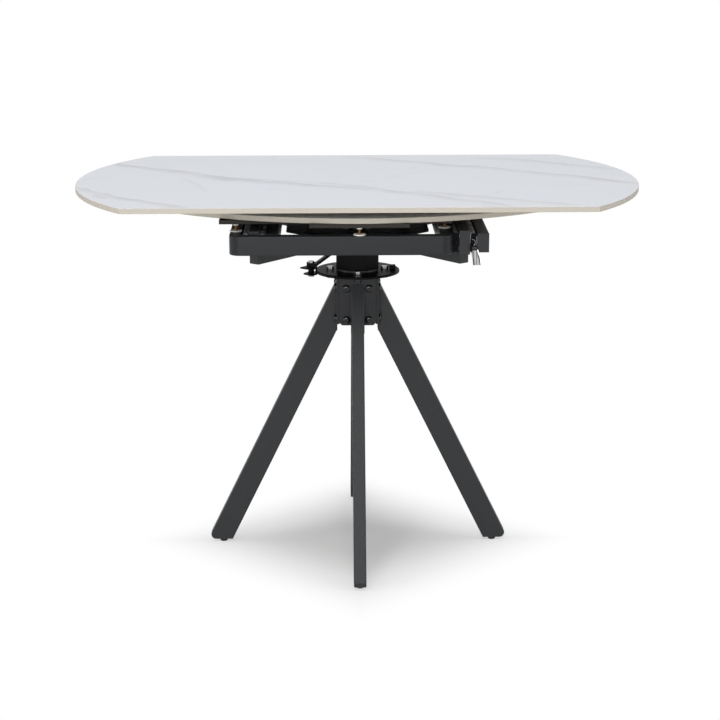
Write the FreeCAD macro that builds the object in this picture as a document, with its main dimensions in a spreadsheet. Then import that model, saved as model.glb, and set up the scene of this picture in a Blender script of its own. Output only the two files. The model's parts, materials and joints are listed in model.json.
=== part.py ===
# Extending dining table: a stone top on a swivel base, with two leaves stored on slides under it.
# Millimetres, +Z up. The origin is on the floor under the middle of the column, the front is -Y.
import FreeCAD
import Part
import os
import Sketcher

SIZES = {
    # Top slab: a disc cut along two straight sides, which the two leaves complete
    "top_length": 1100,
    "top_width": 680,
    "top_height": 750,
    "slab_thickness": 10,
    "slab_arris": 0.8,
    # Leaves as they are stored below the slab
    "leaf_gap": 17,
    "leaf_setback": 42,
    # Sheet steel tray under each leaf, with a tongue that reaches over the frame's front bar
    "tray_depth": 8,
    "tray_sheet": 2,
    "tray_outer_margin": 31,
    "tray_inner_margin": 12,
    "tongue_length": 45,
    "tray_length": 152,
    "tongue_width": 184,
    # Levelling posts between the leaf frame and the tray
    "stud_height": 14,
    "stud_diameter": 6,
    "stud_clearance": 0.1,
    "collar_diameter": 25,
    "collar_height": 3.5,
    "cap_diameter": 12,
    "cap_height": 3,
    "outer_stud_gap": 34,
    "inner_stud_gap": 64,
    "back_stud_gap": 12,
    # Leaf frame: a U of rectangular tube
    "frame_width": 22,
    "frame_height": 36,
    "frame_wall": 1.5,
    "frame_corner": 20,
    "end_gap": 2,
    # Plastic caps in the open tube ends
    "cap_plate": 2,
    "cap_plug": 12,
    "cap_clearance": 0.15,
    # Fixed side rails
    "rail_spacing": 388,
    "rail_width": 20,
    "rail_height": 45,
    "rail_drop": 4,
    "rail_wall": 1.5,
    # Ball slides in the gaps between the rails and the frame arms
    "slide_gap": 13,
    "slide_height": 35,
    "slide_depth": 10.5,
    "slide_sheet": 1.2,
    "slide_lip": 4,
    "slide_length": 540,
    "slide_margin": 8,
    "runner_height": 22,
    "runner_reach": 9,
    "ball_play": 0.15,
    "ball_offset": 5.9,
    "cage_sheet": 0.8,
    "cage_offset": 2,
    "cage_reach": 6.8,
    "cage_length": 240,
    "ball_pitch": 60,
    # Spider arms from the hub to the side rails
    "arm_width": 22,
    "arm_height": 23,
    "arm_wall": 1.5,
    "arm_overhang": 3,
    "spider_margin": 37.6,
    # Hub, bushes and spindle of the swivel
    "hub_diameter": 84,
    "hub_bore": 60,
    "hub_height": 78,
    "hub_play": 0.2,
    "bush_height": 22,
    "bush_fit": 0.02,
    "running_clearance": 0.05,
    "thrust_thickness": 3.4,
    "thrust_play": 0.1,
    "spindle_diameter": 40,
    "thread_diameter": 20,
    "thread_length": 20,
    "nut_flange_diameter": 70,
    "nut_flange_height": 4,
    "nut_corner_diameter": 34,
    "nut_height": 12,
    # Deck, bridge plates, posts and beams that carry the slab
    "deck_side_gap": 9,
    "deck_corner": 40,
    "bridge_spacing": 190,
    "deck_width": 160,
    "deck_thickness": 5,
    "deck_hole": 76,
    "deck_clearance": 12,
    "bridge_thickness": 4,
    "beam_length": 800,
    "beam_width": 30,
    "beam_height": 20,
    "beam_wall": 1.5,
    "beam_spacing": 120,
    "beam_clearance": 12,
    # Swivel plate, its bolts and its stop
    "plate_diameter": 168,
    "plate_thickness": 5,
    "plate_edge": 1,
    "plate_bolt_place": 54,
    "plate_bolt_diameter": 8,
    "plate_head_diameter": 15,
    "plate_head_height": 6,
    "plate_nut_height": 7,
    "hole_clearance": 0.2,
    "stop_place": 64,
    "stop_length": 12,
    "stop_width": 14,
    "stop_height": 8,
    # Column and the four angle brackets that hold the legs
    "column_side": 72,
    "column_wall": 3,
    "column_length": 98,
    "bracket_width": 72,
    "bracket_thickness": 6,
    "bracket_height": 101,
    "bracket_chamfer": 5,
    "flange_thickness": 5,
    "flange_reach": 24,
    "flange_chamfer": 10,
    "bend_radius": 4,
    "leg_bolt_spread": 45,
    "leg_bolt_drop": 26.5,
    "leg_bolt_rise": 11,
    "leg_bolt_diameter": 8,
    "leg_bolt_grip": 4,
    "leg_head_diameter": 16,
    "leg_head_height": 5,
    "leg_head_round": 3,
    # Legs and glides
    "leg_depth": 45,
    "leg_width": 24,
    "leg_wall": 1.8,
    "leg_edge": 2.5,
    "leg_top_drop": 17,
    "foot_radius": 308,
    "toe_radius": 10,
    "glide_height": 6,
    "glide_diameter": 15,
    "glide_edge": 1,
    "glide_inset": 31.5,
    # Lock levers at one end of each rail
    "lever_pin_diameter": 4,
    "lever_pin_drop": 9,
    "lever_ahead": 4,
    "lever_play": 0.05,
    "lever_eye_diameter": 9,
    "lever_eye_length": 9,
    "lever_sheet": 3,
    "lever_length": 32,
    "lever_neck": 10,
    "lever_flare": 15,
    "lever_lean": 6,
    "lever_side_radius": 90,
    "lever_side_gap": 0.5,
    "lock_plate_sheet": 2.5,
    "lock_plate_length": 16,
    "lock_plate_height": 14,
    "lock_plate_back": 7,
    # Swivel brake: a forked lever that straddles the rim of the swivel plate
    "brake_standoff": 8,
    "brake_bolt_diameter": 6,
    "brake_head_diameter": 11.5,
    "brake_head_height": 4,
    "brake_sheet": 3,
    "brake_lift": 2,
    "brake_air": 0.4,
    "brake_bite": 4,
    "brake_width": 44,
    "brake_shoe_width": 10,
    "brake_tip_reach": 22,
    "brake_sleeve_diameter": 12,
    "strut_width": 22,
    "strut_thickness": 7,
    "strut_gap": 1,
    "strut_foot": 9,
    "strut_rise": 34,
    # How far every cutting shape runs past the face it cuts
    "cut_overrun": 5,
}

# The hub's outline is an octagon with a flat towards each side of the table
HUB_SIDES = 8

PLACES = {
    "top_radius": "Sizes.top_length / 2",
    "half_chord": "sqrt(top_radius * top_radius - Sizes.top_width * Sizes.top_width / 4)",
    "slab_bottom": "Sizes.top_height - Sizes.slab_thickness",
    "leaf_bottom": "slab_bottom - Sizes.leaf_gap - Sizes.slab_thickness",
    "beam_outer": "(Sizes.beam_spacing + Sizes.beam_width) / 2",
    "leaf_room": "beam_outer + Sizes.beam_clearance",
    "leaf_inner": "max(Sizes.top_width - Sizes.leaf_setback - top_radius; leaf_room)",
    "tray_bottom": "leaf_bottom - Sizes.tray_depth",
    "frame_top": "tray_bottom - Sizes.stud_height",
    "frame_bottom": "frame_top - Sizes.frame_height",
    "arm_end": "Sizes.slide_length / 2 + Sizes.slide_margin",
    "bar_inner": "arm_end + Sizes.end_gap",
    "bar_middle": "bar_inner + Sizes.frame_width / 2",
    "frame_reach": "bar_inner + Sizes.frame_width",
    "tongue_front": "bar_middle + Sizes.cap_diameter / 2",
    "tray_reach": "tongue_front - Sizes.tongue_length",
    "tray_room": "Sizes.deck_width / 2 + Sizes.deck_clearance",
    "tray_back": "max(tray_reach - Sizes.tray_length; tray_room)",
    "outer_stud_place": "bar_inner - Sizes.outer_stud_gap",
    "inner_stud_place": "bar_inner - Sizes.inner_stud_gap",
    "back_stud_place": "tray_back + Sizes.back_stud_gap",
    "rail_middle": "Sizes.rail_spacing / 2",
    "rail_outer": "rail_middle + Sizes.rail_width / 2",
    "rail_inner": "rail_middle - Sizes.rail_width / 2",
    "outer_arm": "rail_outer + Sizes.slide_gap + Sizes.frame_width / 2",
    "inner_arm": "rail_inner - Sizes.slide_gap - Sizes.frame_width / 2",
    "deck_half": "inner_arm - Sizes.frame_width / 2 - Sizes.deck_side_gap",
    "tray_outer": "outer_arm + Sizes.tray_outer_margin",
    "tray_inner": "inner_arm + Sizes.tray_inner_margin",
    "rail_bottom": "frame_bottom - Sizes.rail_drop",
    "rail_top": "rail_bottom + Sizes.rail_height",
    "slide_level": "frame_bottom + Sizes.frame_height / 2",
    "race_inner": "Sizes.runner_height / 2",
    "race_outer": "Sizes.slide_height / 2 - Sizes.slide_sheet",
    "ball_level": "(race_inner + race_outer) / 2",
    "ball_radius": "(race_outer - race_inner) / 2 - Sizes.ball_play",
    "arm_bottom": "rail_bottom - Sizes.arm_height",
    "spider_run": "arm_end - Sizes.spider_margin",
    "spider_angle": "atan(rail_middle / spider_run)",
    "arm_reach": "sqrt(rail_middle * rail_middle + spider_run * spider_run) + Sizes.arm_overhang",
    "hub_radius": "Sizes.hub_diameter / 2",
    "hub_corner": f"hub_radius / cos(180 deg / {HUB_SIDES})",
    "hub_bottom": "rail_bottom - Sizes.hub_height",
    "plate_top": "hub_bottom - Sizes.thrust_thickness - Sizes.thrust_play",
    "plate_bottom": "plate_top - Sizes.plate_thickness",
    "spindle_shoulder": "rail_bottom + Sizes.hub_play",
    "deck_top": "rail_bottom + Sizes.deck_thickness",
    "beam_bottom": "slab_bottom - Sizes.beam_height",
    "bracket_face": "Sizes.column_side / 2 + Sizes.bracket_thickness",
    "bracket_bottom": "plate_bottom - Sizes.bracket_height",
    "flange_bottom": "plate_bottom - Sizes.flange_thickness",
    "upper_bolt_level": "plate_bottom - Sizes.leg_bolt_drop",
    "lower_bolt_level": "bracket_bottom + Sizes.leg_bolt_rise",
    "leg_top": "plate_bottom - Sizes.leg_top_drop",
    "leg_rise": "leg_top - Sizes.glide_height",
    "leg_run": "Sizes.foot_radius - bracket_face",
    "leg_stretch": "sqrt(1 + leg_run * leg_run / (leg_rise * leg_rise))",
    "glide_place": "Sizes.foot_radius - Sizes.glide_inset",
    "lever_level": "slide_level - Sizes.lever_pin_drop",
    "lever_place": "arm_end + Sizes.lever_ahead",
    "lock_plate_outer": "rail_outer + Sizes.lock_plate_sheet",
    "lever_inner": "lock_plate_outer + Sizes.lever_side_gap",
    "lever_middle": "lever_inner + Sizes.lever_eye_length / 2",
    "brake_place": "Sizes.plate_diameter / 2 + Sizes.brake_standoff",
    "upper_jaw": "plate_top + Sizes.brake_lift",
    "lower_jaw": "plate_bottom - Sizes.brake_lift - Sizes.brake_sheet",
    "jaw_inner": "Sizes.plate_diameter / 2 - Sizes.brake_bite",
    "strut_bottom": "upper_jaw + Sizes.brake_sheet + Sizes.strut_gap",
}

LEFT = 1
RIGHT = -1
UP = FreeCAD.Vector(0, 0, 1)
FRONT_AND_REAR = (("front", 0), ("rear", 180))
RIGHT_AND_LEFT = (("right", 0), ("left", 180))
FOUR_SIDES = (("front", 0), ("right", 90), ("rear", 180), ("left", 270))
BALLS_PER_ROW = 4
# Outline of the brake's upper jaw beside its bolt, as shares of the jaw's width and of its tip's reach
TIP_SIDE_SHARE = 0.2
SHOULDER_SHARE = 0.6
LOWER_TIP_SHARE = 0.7
SAME_PLACE = 1e-6

doc = FreeCAD.newDocument("ExtendingTable")
nodes = []


def fill_sheet(name, cells):
    """Spreadsheet with one aliased cell for each entry."""
    sheet = doc.addObject("Spreadsheet::Sheet", name)
    for row, (alias, content) in enumerate(cells.items(), start=1):
        sheet.set(f"A{row}", alias)
        sheet.set(f"B{row}", content)
        sheet.setAlias(f"B{row}", alias)
    doc.recompute()
    return sheet


fill_sheet("Sizes", {alias: str(size) for alias, size in SIZES.items()})
places = fill_sheet("Places", {alias: "=" + formula for alias, formula in PLACES.items()})


def number(expression):
    """Present value of an expression over the two sheets."""
    return float(places.evalExpression(expression))


def bind(thing, expressions):
    """Bind each property of a document object to its expression."""
    for path, expression in expressions.items():
        thing.setExpression(path, expression)


def node(label, thing, turn="0"):
    """Name a finished sub-part and turn it about the table's upright axis."""
    thing.Label = label
    if turn != "0":
        thing.setExpression("Placement", f"placement(vector(0; 0; 0); rotation(vector(0; 0; 1); {turn}))")
    nodes.append(thing)
    return thing


def box(name, size, corner):
    """Box of three sizes with its lowest corner at the given place."""
    solid = doc.addObject("Part::Box", name)
    bind(solid, dict(zip(("Length", "Width", "Height"), size)))
    bind(solid, dict(zip(("Placement.Base.x", "Placement.Base.y", "Placement.Base.z"), corner)))
    return solid


def rod(name, diameter, length, foot, direction=UP):
    """Round bar that starts at its foot and runs along one of the axes."""
    solid = doc.addObject("Part::Cylinder", name)
    solid.Placement = FreeCAD.Placement(FreeCAD.Vector(), FreeCAD.Rotation(UP, direction))
    bind(solid, {"Radius": f"({diameter}) / 2", "Height": length})
    bind(solid, dict(zip(("Placement.Base.x", "Placement.Base.y", "Placement.Base.z"), foot)))
    return solid


def hexagon(name, corner_diameter, height, foot):
    """Upright hexagonal bar."""
    solid = doc.addObject("Part::Prism", name)
    solid.Polygon = 6
    bind(solid, {"Circumradius": f"({corner_diameter}) / 2", "Height": height})
    bind(solid, dict(zip(("Placement.Base.x", "Placement.Base.y", "Placement.Base.z"), foot)))
    return solid


def hub_bar(name, height, bottom, turn="0 deg"):
    """Upright bar of the hub's octagonal outline, as seen from a frame that is turned about the axis."""
    solid = doc.addObject("Part::Prism", name)
    solid.Polygon = HUB_SIDES
    bind(solid, {"Circumradius": "Places.hub_corner", "Height": height})
    angle = f"180 deg / {HUB_SIDES} - ({turn})"
    solid.setExpression("Placement", f"placement(vector(0; 0; {bottom}); rotation(vector(0; 0; 1); {angle}))")
    return solid


def cut(name, base, tool):
    """Base less tool."""
    result = doc.addObject("Part::Cut", name)
    result.Base = base
    result.Tool = tool
    return result


def join(name, solids):
    """One solid out of several that touch."""
    result = doc.addObject("Part::MultiFuse", name)
    result.Shapes = solids
    result.Refine = True
    return result


def group(name, solids):
    """Separate solids that belong to one sub-part."""
    result = doc.addObject("Part::Compound", name)
    result.Links = solids
    return result


def rectangular_tube(name, size, corner, wall, along):
    """Rectangular tube, open at both ends along one axis (0, 1 or 2)."""
    core_size = [f"({length}) - 2 * ({wall})" for length in size]
    core_corner = [f"({place}) + ({wall})" for place in corner]
    core_size[along] = f"({size[along]}) + 2 * Sizes.cut_overrun"
    core_corner[along] = f"({corner[along]}) - Sizes.cut_overrun"
    skin = box(name + "_skin", size, corner)
    core = box(name + "_core", core_size, core_corner)
    return cut(name, skin, core)


def tube_cap(name, size, corner, wall, along, inward):
    """Cap plate over a tube end with a plug inside it; inward is +1 or -1 along the tube."""
    plate_size = list(size)
    plate_size[along] = "Sizes.cap_plate"
    gap = f"(({wall}) + Sizes.cap_clearance)"
    plug_size = [f"({length}) - 2 * {gap}" for length in size]
    plug_corner = [f"({place}) + {gap}" for place in corner]
    plug_size[along] = "Sizes.cap_plug"
    step = "Sizes.cap_plate" if inward > 0 else "-Sizes.cap_plug"
    plug_corner[along] = f"({corner[along]}) + {step}"
    plate = box(name + "_plate", plate_size, corner)
    plug = box(name + "_plug", plug_size, plug_corner)
    return join(name, [plate, plug])


def new_body(name):
    """Empty body."""
    return doc.addObject("PartDesign::Body", name)


def arc_between(start, end, radius, side):
    """Short arc of a radius whose middle lies to the LEFT or RIGHT of the way from start to end."""
    chord = end - start
    sagitta = radius - (radius ** 2 - chord.Length ** 2 / 4) ** 0.5
    across = FreeCAD.Vector(-chord.y, chord.x, 0).normalize()
    return Part.Arc(start, (start + end) / 2 + across * sagitta * side, end)


def outline(body, plane, corners, level="0"):
    """Closed sketch on one of the body's origin planes, raised by level along the plane's normal.

    Each corner is (x, y), or (x, y, radius, side) where an arc leads to the next corner.
    """
    sketch = body.newObject("Sketcher::SketchObject", body.Name + "_outline")
    support = next(face for face in body.Origin.OriginFeatures if face.Role == plane)
    sketch.AttachmentSupport = [(support, "")]
    sketch.MapMode = "FlatFace"
    sketch.setExpression("AttachmentOffset.Base.z", level)
    points = [FreeCAD.Vector(number(corner[0]), number(corner[1]), 0) for corner in corners]
    heads = []
    for index, corner in enumerate(corners):
        start = points[index]
        end = points[(index + 1) % len(points)]
        if len(corner) > 2:
            sketch.addGeometry(arc_between(start, end, number(corner[2]), corner[3]), False)
        else:
            sketch.addGeometry(Part.LineSegment(start, end), False)
        heads.append(1 if sketch.getPoint(index, 1).isEqual(start, SAME_PLACE) else 2)
    for index, corner in enumerate(corners):
        following = (index + 1) % len(corners)
        tail = 3 - heads[index]
        sketch.addConstraint(Sketcher.Constraint("Coincident", index, tail, following, heads[following]))
        x_and_y = (("X", points[index].x, corner[0]), ("Y", points[index].y, corner[1]))
        for axis, place, expression in x_and_y:
            held = Sketcher.Constraint("Distance" + axis, -1, 1, index, heads[index], place)
            name = f"corner_{index}_{axis}"
            sketch.renameConstraint(sketch.addConstraint(held), name)
            sketch.setExpression(f"Constraints.{name}", expression)
        if len(corner) > 2:
            name = f"radius_{index}"
            held = Sketcher.Constraint("Radius", index, number(corner[2]))
            sketch.renameConstraint(sketch.addConstraint(held), name)
            sketch.setExpression(f"Constraints.{name}", corner[2])
    return sketch


def pad(body, sketch, length, symmetric=False):
    """Extrude a sketch along its normal, or to both sides alike."""
    feature = body.newObject("PartDesign::Pad", body.Name + "_pad")
    feature.Profile = sketch
    feature.SideType = "Symmetric" if symmetric else "One side"
    feature.setExpression("Length", length)
    return feature


def pocket(body, sketch, depth):
    """Cut a sketch into the solid against its normal."""
    feature = body.newObject("PartDesign::Pocket", body.Name + "_pocket")
    feature.Profile = sketch
    feature.SideType = "One side"
    feature.setExpression("Length", depth)
    return feature


def revolve(body, corners):
    """Turn a half section, drawn as (radius, level), about the upright axis."""
    sketch = outline(body, "XZ_Plane", corners)
    feature = body.newObject("PartDesign::Revolution", body.Name + "_turned")
    feature.Profile = sketch
    feature.ReferenceAxis = (sketch, ["V_Axis"])
    feature.Angle = 360
    return feature


def dress(body, kind, size_name, size, wanted):
    """Fillet or chamfer the edges of the body's present solid that the test picks."""
    doc.recompute()
    base = body.Tip
    edges = [f"Edge{place}" for place, edge in enumerate(base.Shape.Edges, start=1) if wanted(edge)]
    if not edges:
        raise RuntimeError(f"{body.Name}: no edge to dress")
    feature = body.newObject("PartDesign::" + kind, body.Name + "_" + kind.lower())
    feature.Base = (base, edges)
    feature.setExpression(size_name, size)
    return feature


def is_level(edge):
    """An edge that lies in a level plane."""
    return edge.BoundBox.ZLength < SAME_PLACE


def slab(label, corners, bottom, turn="0"):
    """Stone panel with softened arrises."""
    body = new_body(label)
    pad(body, outline(body, "XY_Plane", corners, bottom), "Sizes.slab_thickness")
    dress(body, "Fillet", "Radius", "Sizes.slab_arris", is_level)
    node(label, body, turn)


def build_main_top():
    """Middle panel of the top: straight front and rear sides, round ends."""
    side = "Sizes.top_width / 2"
    corners = [
        ("-Places.half_chord", f"-{side}"),
        ("Places.half_chord", f"-{side}", "Places.top_radius", RIGHT),
        ("Places.half_chord", side),
        ("-Places.half_chord", side, "Places.top_radius", RIGHT),
    ]
    slab("main_top", corners, "Places.slab_bottom")


def build_leaf(name, turn):
    """Leaf: the piece of the circle that the main top lacks, stored further in."""
    corners = [
        ("-Places.half_chord", "-Places.leaf_inner", "Places.top_radius", RIGHT),
        ("Places.half_chord", "-Places.leaf_inner"),
    ]
    slab(f"leaf_{name}", corners, "Places.leaf_bottom", turn)


def tray_outline(inset):
    """Tray plan with its tongue, drawn in by an inset."""
    outer = f"-(Places.tray_outer - {inset})"
    inner = f"(Places.tray_inner - {inset})"
    tongue = f"(Sizes.tongue_width / 2 - {inset})"
    back = f"-(Places.tray_back + {inset})"
    step = f"-(Places.tray_reach - {inset})"
    front = f"-(Places.tongue_front - {inset})"
    left = [(outer, back), (outer, step), ("-" + tongue, step), ("-" + tongue, front)]
    right = [(tongue, front), (tongue, step), (inner, step), (inner, back)]
    return left + right


def build_tray(name, turn):
    """Shallow tray with upturned edges, which carry the leaf."""
    label = f"leaf_tray_{name}"
    body = new_body(label)
    pad(body, outline(body, "XY_Plane", tray_outline("0"), "Places.tray_bottom"), "Sizes.tray_depth")
    opening = outline(body, "XY_Plane", tray_outline("Sizes.tray_sheet"), "Places.leaf_bottom")
    pocket(body, opening, "Sizes.tray_depth - Sizes.tray_sheet")
    node(label, body, turn)


def build_posts(name, turn):
    """Levelling studs on the leaf frame, each with a collar at its foot and a cap under the tray."""
    stud_places = (
        ("0", "-Places.bar_middle"),
        ("-Places.outer_arm", "-Places.outer_stud_place"),
        ("Places.inner_arm", "-Places.inner_stud_place"),
        ("-Places.outer_arm", "-Places.back_stud_place"),
        ("Places.inner_arm", "-Places.back_stud_place"),
    )
    studs = []
    collars = []
    bore = "Sizes.stud_diameter + 2 * Sizes.stud_clearance"
    rings = (
        ("collar", "Sizes.collar_diameter", "Sizes.collar_height", "Places.frame_top"),
        ("cap", "Sizes.cap_diameter", "Sizes.cap_height", "Places.tray_bottom - Sizes.cap_height"),
    )
    for index, (x, y) in enumerate(stud_places):
        tag = f"{name}_{index}"
        foot = (x, y, "Places.frame_top")
        studs.append(rod(f"stud_{tag}", "Sizes.stud_diameter", "Sizes.stud_height", foot))
        for kind, diameter, height, bottom in rings:
            disc = rod(f"{kind}_{tag}_disc", diameter, height, (x, y, bottom))
            hole = rod(f"{kind}_{tag}_hole", bore, "Sizes.stud_height", foot)
            collars.append(cut(f"{kind}_{tag}", disc, hole))
    node(f"studs_{name}", group(f"studs_{name}", studs), turn)
    node(f"stud_collars_{name}", group(f"stud_collars_{name}", collars), turn)


def frame_outline(inset, end):
    """U of the leaf frame with rounded outer corners, drawn into the tube's wall by an inset."""
    left = f"(-(Places.outer_arm + Sizes.frame_width / 2) + {inset})"
    left_inner = f"(-(Places.outer_arm - Sizes.frame_width / 2) - {inset})"
    right = f"(Places.inner_arm + Sizes.frame_width / 2 - {inset})"
    right_inner = f"(Places.inner_arm - Sizes.frame_width / 2 + {inset})"
    front = f"(-Places.frame_reach + {inset})"
    front_inner = f"(-Places.bar_inner - {inset})"
    radius = f"(Sizes.frame_corner - {inset})"
    return [
        (left, end),
        (left, f"{front} + {radius}", radius, RIGHT),
        (f"{left} + {radius}", front),
        (f"{right} - {radius}", front, radius, RIGHT),
        (right, f"{front} + {radius}"),
        (right, end),
        (right_inner, end),
        (right_inner, front_inner),
        (left_inner, front_inner),
        (left_inner, end),
    ]


def build_leaf_frame(name, turn):
    """Welded tube U that slides out with the leaf, and the caps of its two open ends."""
    label = f"leaf_frame_{name}"
    body = new_body(label)
    end = "Places.arm_end - Sizes.cap_plate"
    skin = outline(body, "XY_Plane", frame_outline("0", end), "Places.frame_bottom")
    pad(body, skin, "Sizes.frame_height")
    core = frame_outline("Sizes.frame_wall", f"{end} + Sizes.cut_overrun")
    hollow = outline(body, "XY_Plane", core, "Places.frame_top - Sizes.frame_wall")
    pocket(body, hollow, "Sizes.frame_height - 2 * Sizes.frame_wall")
    node(label, body, turn)
    caps = []
    for arm, middle in (("outer", "-Places.outer_arm"), ("inner", "Places.inner_arm")):
        size = ("Sizes.frame_width", "Sizes.cap_plate", "Sizes.frame_height")
        corner = (f"{middle} - Sizes.frame_width / 2", end, "Places.frame_bottom")
        caps.append(tube_cap(f"frame_cap_{name}_{arm}", size, corner, "Sizes.frame_wall", 1, -1))
    node(f"frame_caps_{name}", group(f"frame_caps_{name}", caps), turn)


def slide_section(face, side, points):
    """Section of a slide member: (distance off the rail face, height above the slide's middle)."""
    return [(f"{face} + {side} * ({off})", f"Places.slide_level + ({high})") for off, high in points]


def channel_section():
    """C of the fixed member, its back on the rail and its lips turned in towards the runner."""
    half = "Sizes.slide_height / 2"
    depth = "Sizes.slide_depth"
    sheet = "Sizes.slide_sheet"
    lip = f"({half} - Sizes.slide_lip)"
    upper = [(sheet, "Places.race_outer"), (f"{depth} - {sheet}", "Places.race_outer")]
    upper += [(f"{depth} - {sheet}", lip), (depth, lip), (depth, half), ("0", half)]
    lower = [(off, f"-({high})") for off, high in reversed(upper)]
    return lower + upper


def runner_section():
    """C of the moving member, its back on the frame arm and its flanges between the ball rows."""
    back = "Sizes.slide_gap"
    sheet = "Sizes.slide_sheet"
    tip = "Sizes.slide_gap - Sizes.runner_reach"
    inner = f"(Places.race_inner - {sheet})"
    upper = [(f"{back} - {sheet}", inner), (tip, inner)]
    upper += [(tip, "Places.race_inner"), (back, "Places.race_inner")]
    lower = [(off, f"-({high})") for off, high in reversed(upper)]
    return lower + upper


def cage_section():
    """U of sheet that keeps the two ball rows apart."""
    back = "Sizes.cage_offset"
    sheet = "Sizes.cage_sheet"
    tip = f"({back} + Sizes.cage_reach)"
    outer = f"(Places.ball_level + {sheet} / 2)"
    inner = f"(Places.ball_level - {sheet} / 2)"
    upper = [(f"{back} + {sheet}", inner), (tip, inner), (tip, outer), (back, outer)]
    lower = [(off, f"-({high})") for off, high in reversed(upper)]
    return lower + upper


def slide_member(name, face, side, section, length):
    """Straight slide member along the rail, centred on the table."""
    body = new_body(name)
    sketch = outline(body, "XZ_Plane", slide_section(face, side, section))
    pad(body, sketch, length, symmetric=True)
    return body


def build_slide_channels(name, turn):
    """Fixed slide members on both faces of one side rail."""
    label = f"slide_channels_{name}"
    channels = []
    for face, side in (("outer", 1), ("inner", -1)):
        place = f"Places.rail_{face}"
        section = channel_section()
        channels.append(slide_member(f"channel_{name}_{face}", place, side, section, "Sizes.slide_length"))
    node(label, group(label, channels), turn)


def build_runners_and_cages(name, turn):
    """Moving slide members on the two arms of a leaf frame, and the ball cages that run beside them."""
    runners = []
    cages = []
    for arm, face in (("outer", "-Places.rail_outer"), ("inner", "Places.rail_inner")):
        tag = f"{name}_{arm}"
        runners.append(slide_member(f"runner_{tag}", face, -1, runner_section(), "Sizes.slide_length"))
        pieces = [slide_member(f"cage_strip_{tag}", face, -1, cage_section(), "Sizes.cage_length")]
        for row in (1, -1):
            for step in range(BALLS_PER_ROW):
                ball = doc.addObject("Part::Sphere", f"ball_{tag}")
                spot = {
                    "Radius": "Places.ball_radius",
                    "Placement.Base.x": f"{face} - Sizes.ball_offset",
                    "Placement.Base.y": f"Sizes.ball_pitch * {step - (BALLS_PER_ROW - 1) / 2}",
                    "Placement.Base.z": f"Places.slide_level + {row} * Places.ball_level",
                }
                bind(ball, spot)
                pieces.append(ball)
        cages.append(join(f"cage_{tag}", pieces))
    node(f"slide_runners_{name}", group(f"slide_runners_{name}", runners), turn)
    node(f"ball_cages_{name}", group(f"ball_cages_{name}", cages), turn)


def build_side_rail(name, turn):
    """Fixed tube that carries a slide on each face."""
    size = ("Sizes.rail_width", "2 * (Places.arm_end - Sizes.cap_plate)", "Sizes.rail_height")
    corner = ("Places.rail_inner", "-(Places.arm_end - Sizes.cap_plate)", "Places.rail_bottom")
    label = f"side_rail_{name}"
    node(label, rectangular_tube(label, size, corner, "Sizes.rail_wall", 1), turn)


def build_tube_caps():
    """Caps in the ends of the side rails and of the top beams."""
    caps = []
    for side in (1, -1):
        rail_corner = f"{side} * Places.rail_middle - Sizes.rail_width / 2"
        beam_corner = f"{side} * Sizes.beam_spacing / 2 - Sizes.beam_width / 2"
        for end in (1, -1):
            low_end = f"{end} * (Places.arm_end - Sizes.cap_plate / 2) - Sizes.cap_plate / 2"
            size = ("Sizes.rail_width", "Sizes.cap_plate", "Sizes.rail_height")
            corner = (rail_corner, low_end, "Places.rail_bottom")
            caps.append(tube_cap("rail_cap", size, corner, "Sizes.rail_wall", 1, -end))
            low_end = f"{end} * (Sizes.beam_length + Sizes.cap_plate) / 2 - Sizes.cap_plate / 2"
            size = ("Sizes.cap_plate", "Sizes.beam_width", "Sizes.beam_height")
            corner = (low_end, beam_corner, "Places.beam_bottom")
            caps.append(tube_cap("beam_cap", size, corner, "Sizes.beam_wall", 0, -end))
    node("tube_caps", group("tube_caps", caps))


def build_spider_arm(name, turn):
    """Tube from the hub to the underside of a side rail, closed at its square-cut outer end."""
    label = f"spider_arm_{name}"
    size = ("Sizes.arm_width", "Places.arm_reach", "Sizes.arm_height")
    corner = ("-Sizes.arm_width / 2", "-Places.arm_reach", "Places.arm_bottom")
    core_size = [f"{size[0]} - 2 * Sizes.arm_wall", size[1], f"{size[2]} - 2 * Sizes.arm_wall"]
    core_corner = [f"{place} + Sizes.arm_wall" for place in corner]
    skin = box(f"{label}_skin", size, corner)
    tube = cut(f"{label}_tube", skin, box(f"{label}_core", core_size, core_corner))
    saddle_bottom = "Places.arm_bottom - Sizes.cut_overrun"
    saddle_height = "Sizes.arm_height + 2 * Sizes.cut_overrun"
    saddle = hub_bar(f"{label}_saddle", saddle_height, saddle_bottom, turn)
    node(label, cut(label, tube, saddle), turn)


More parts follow.
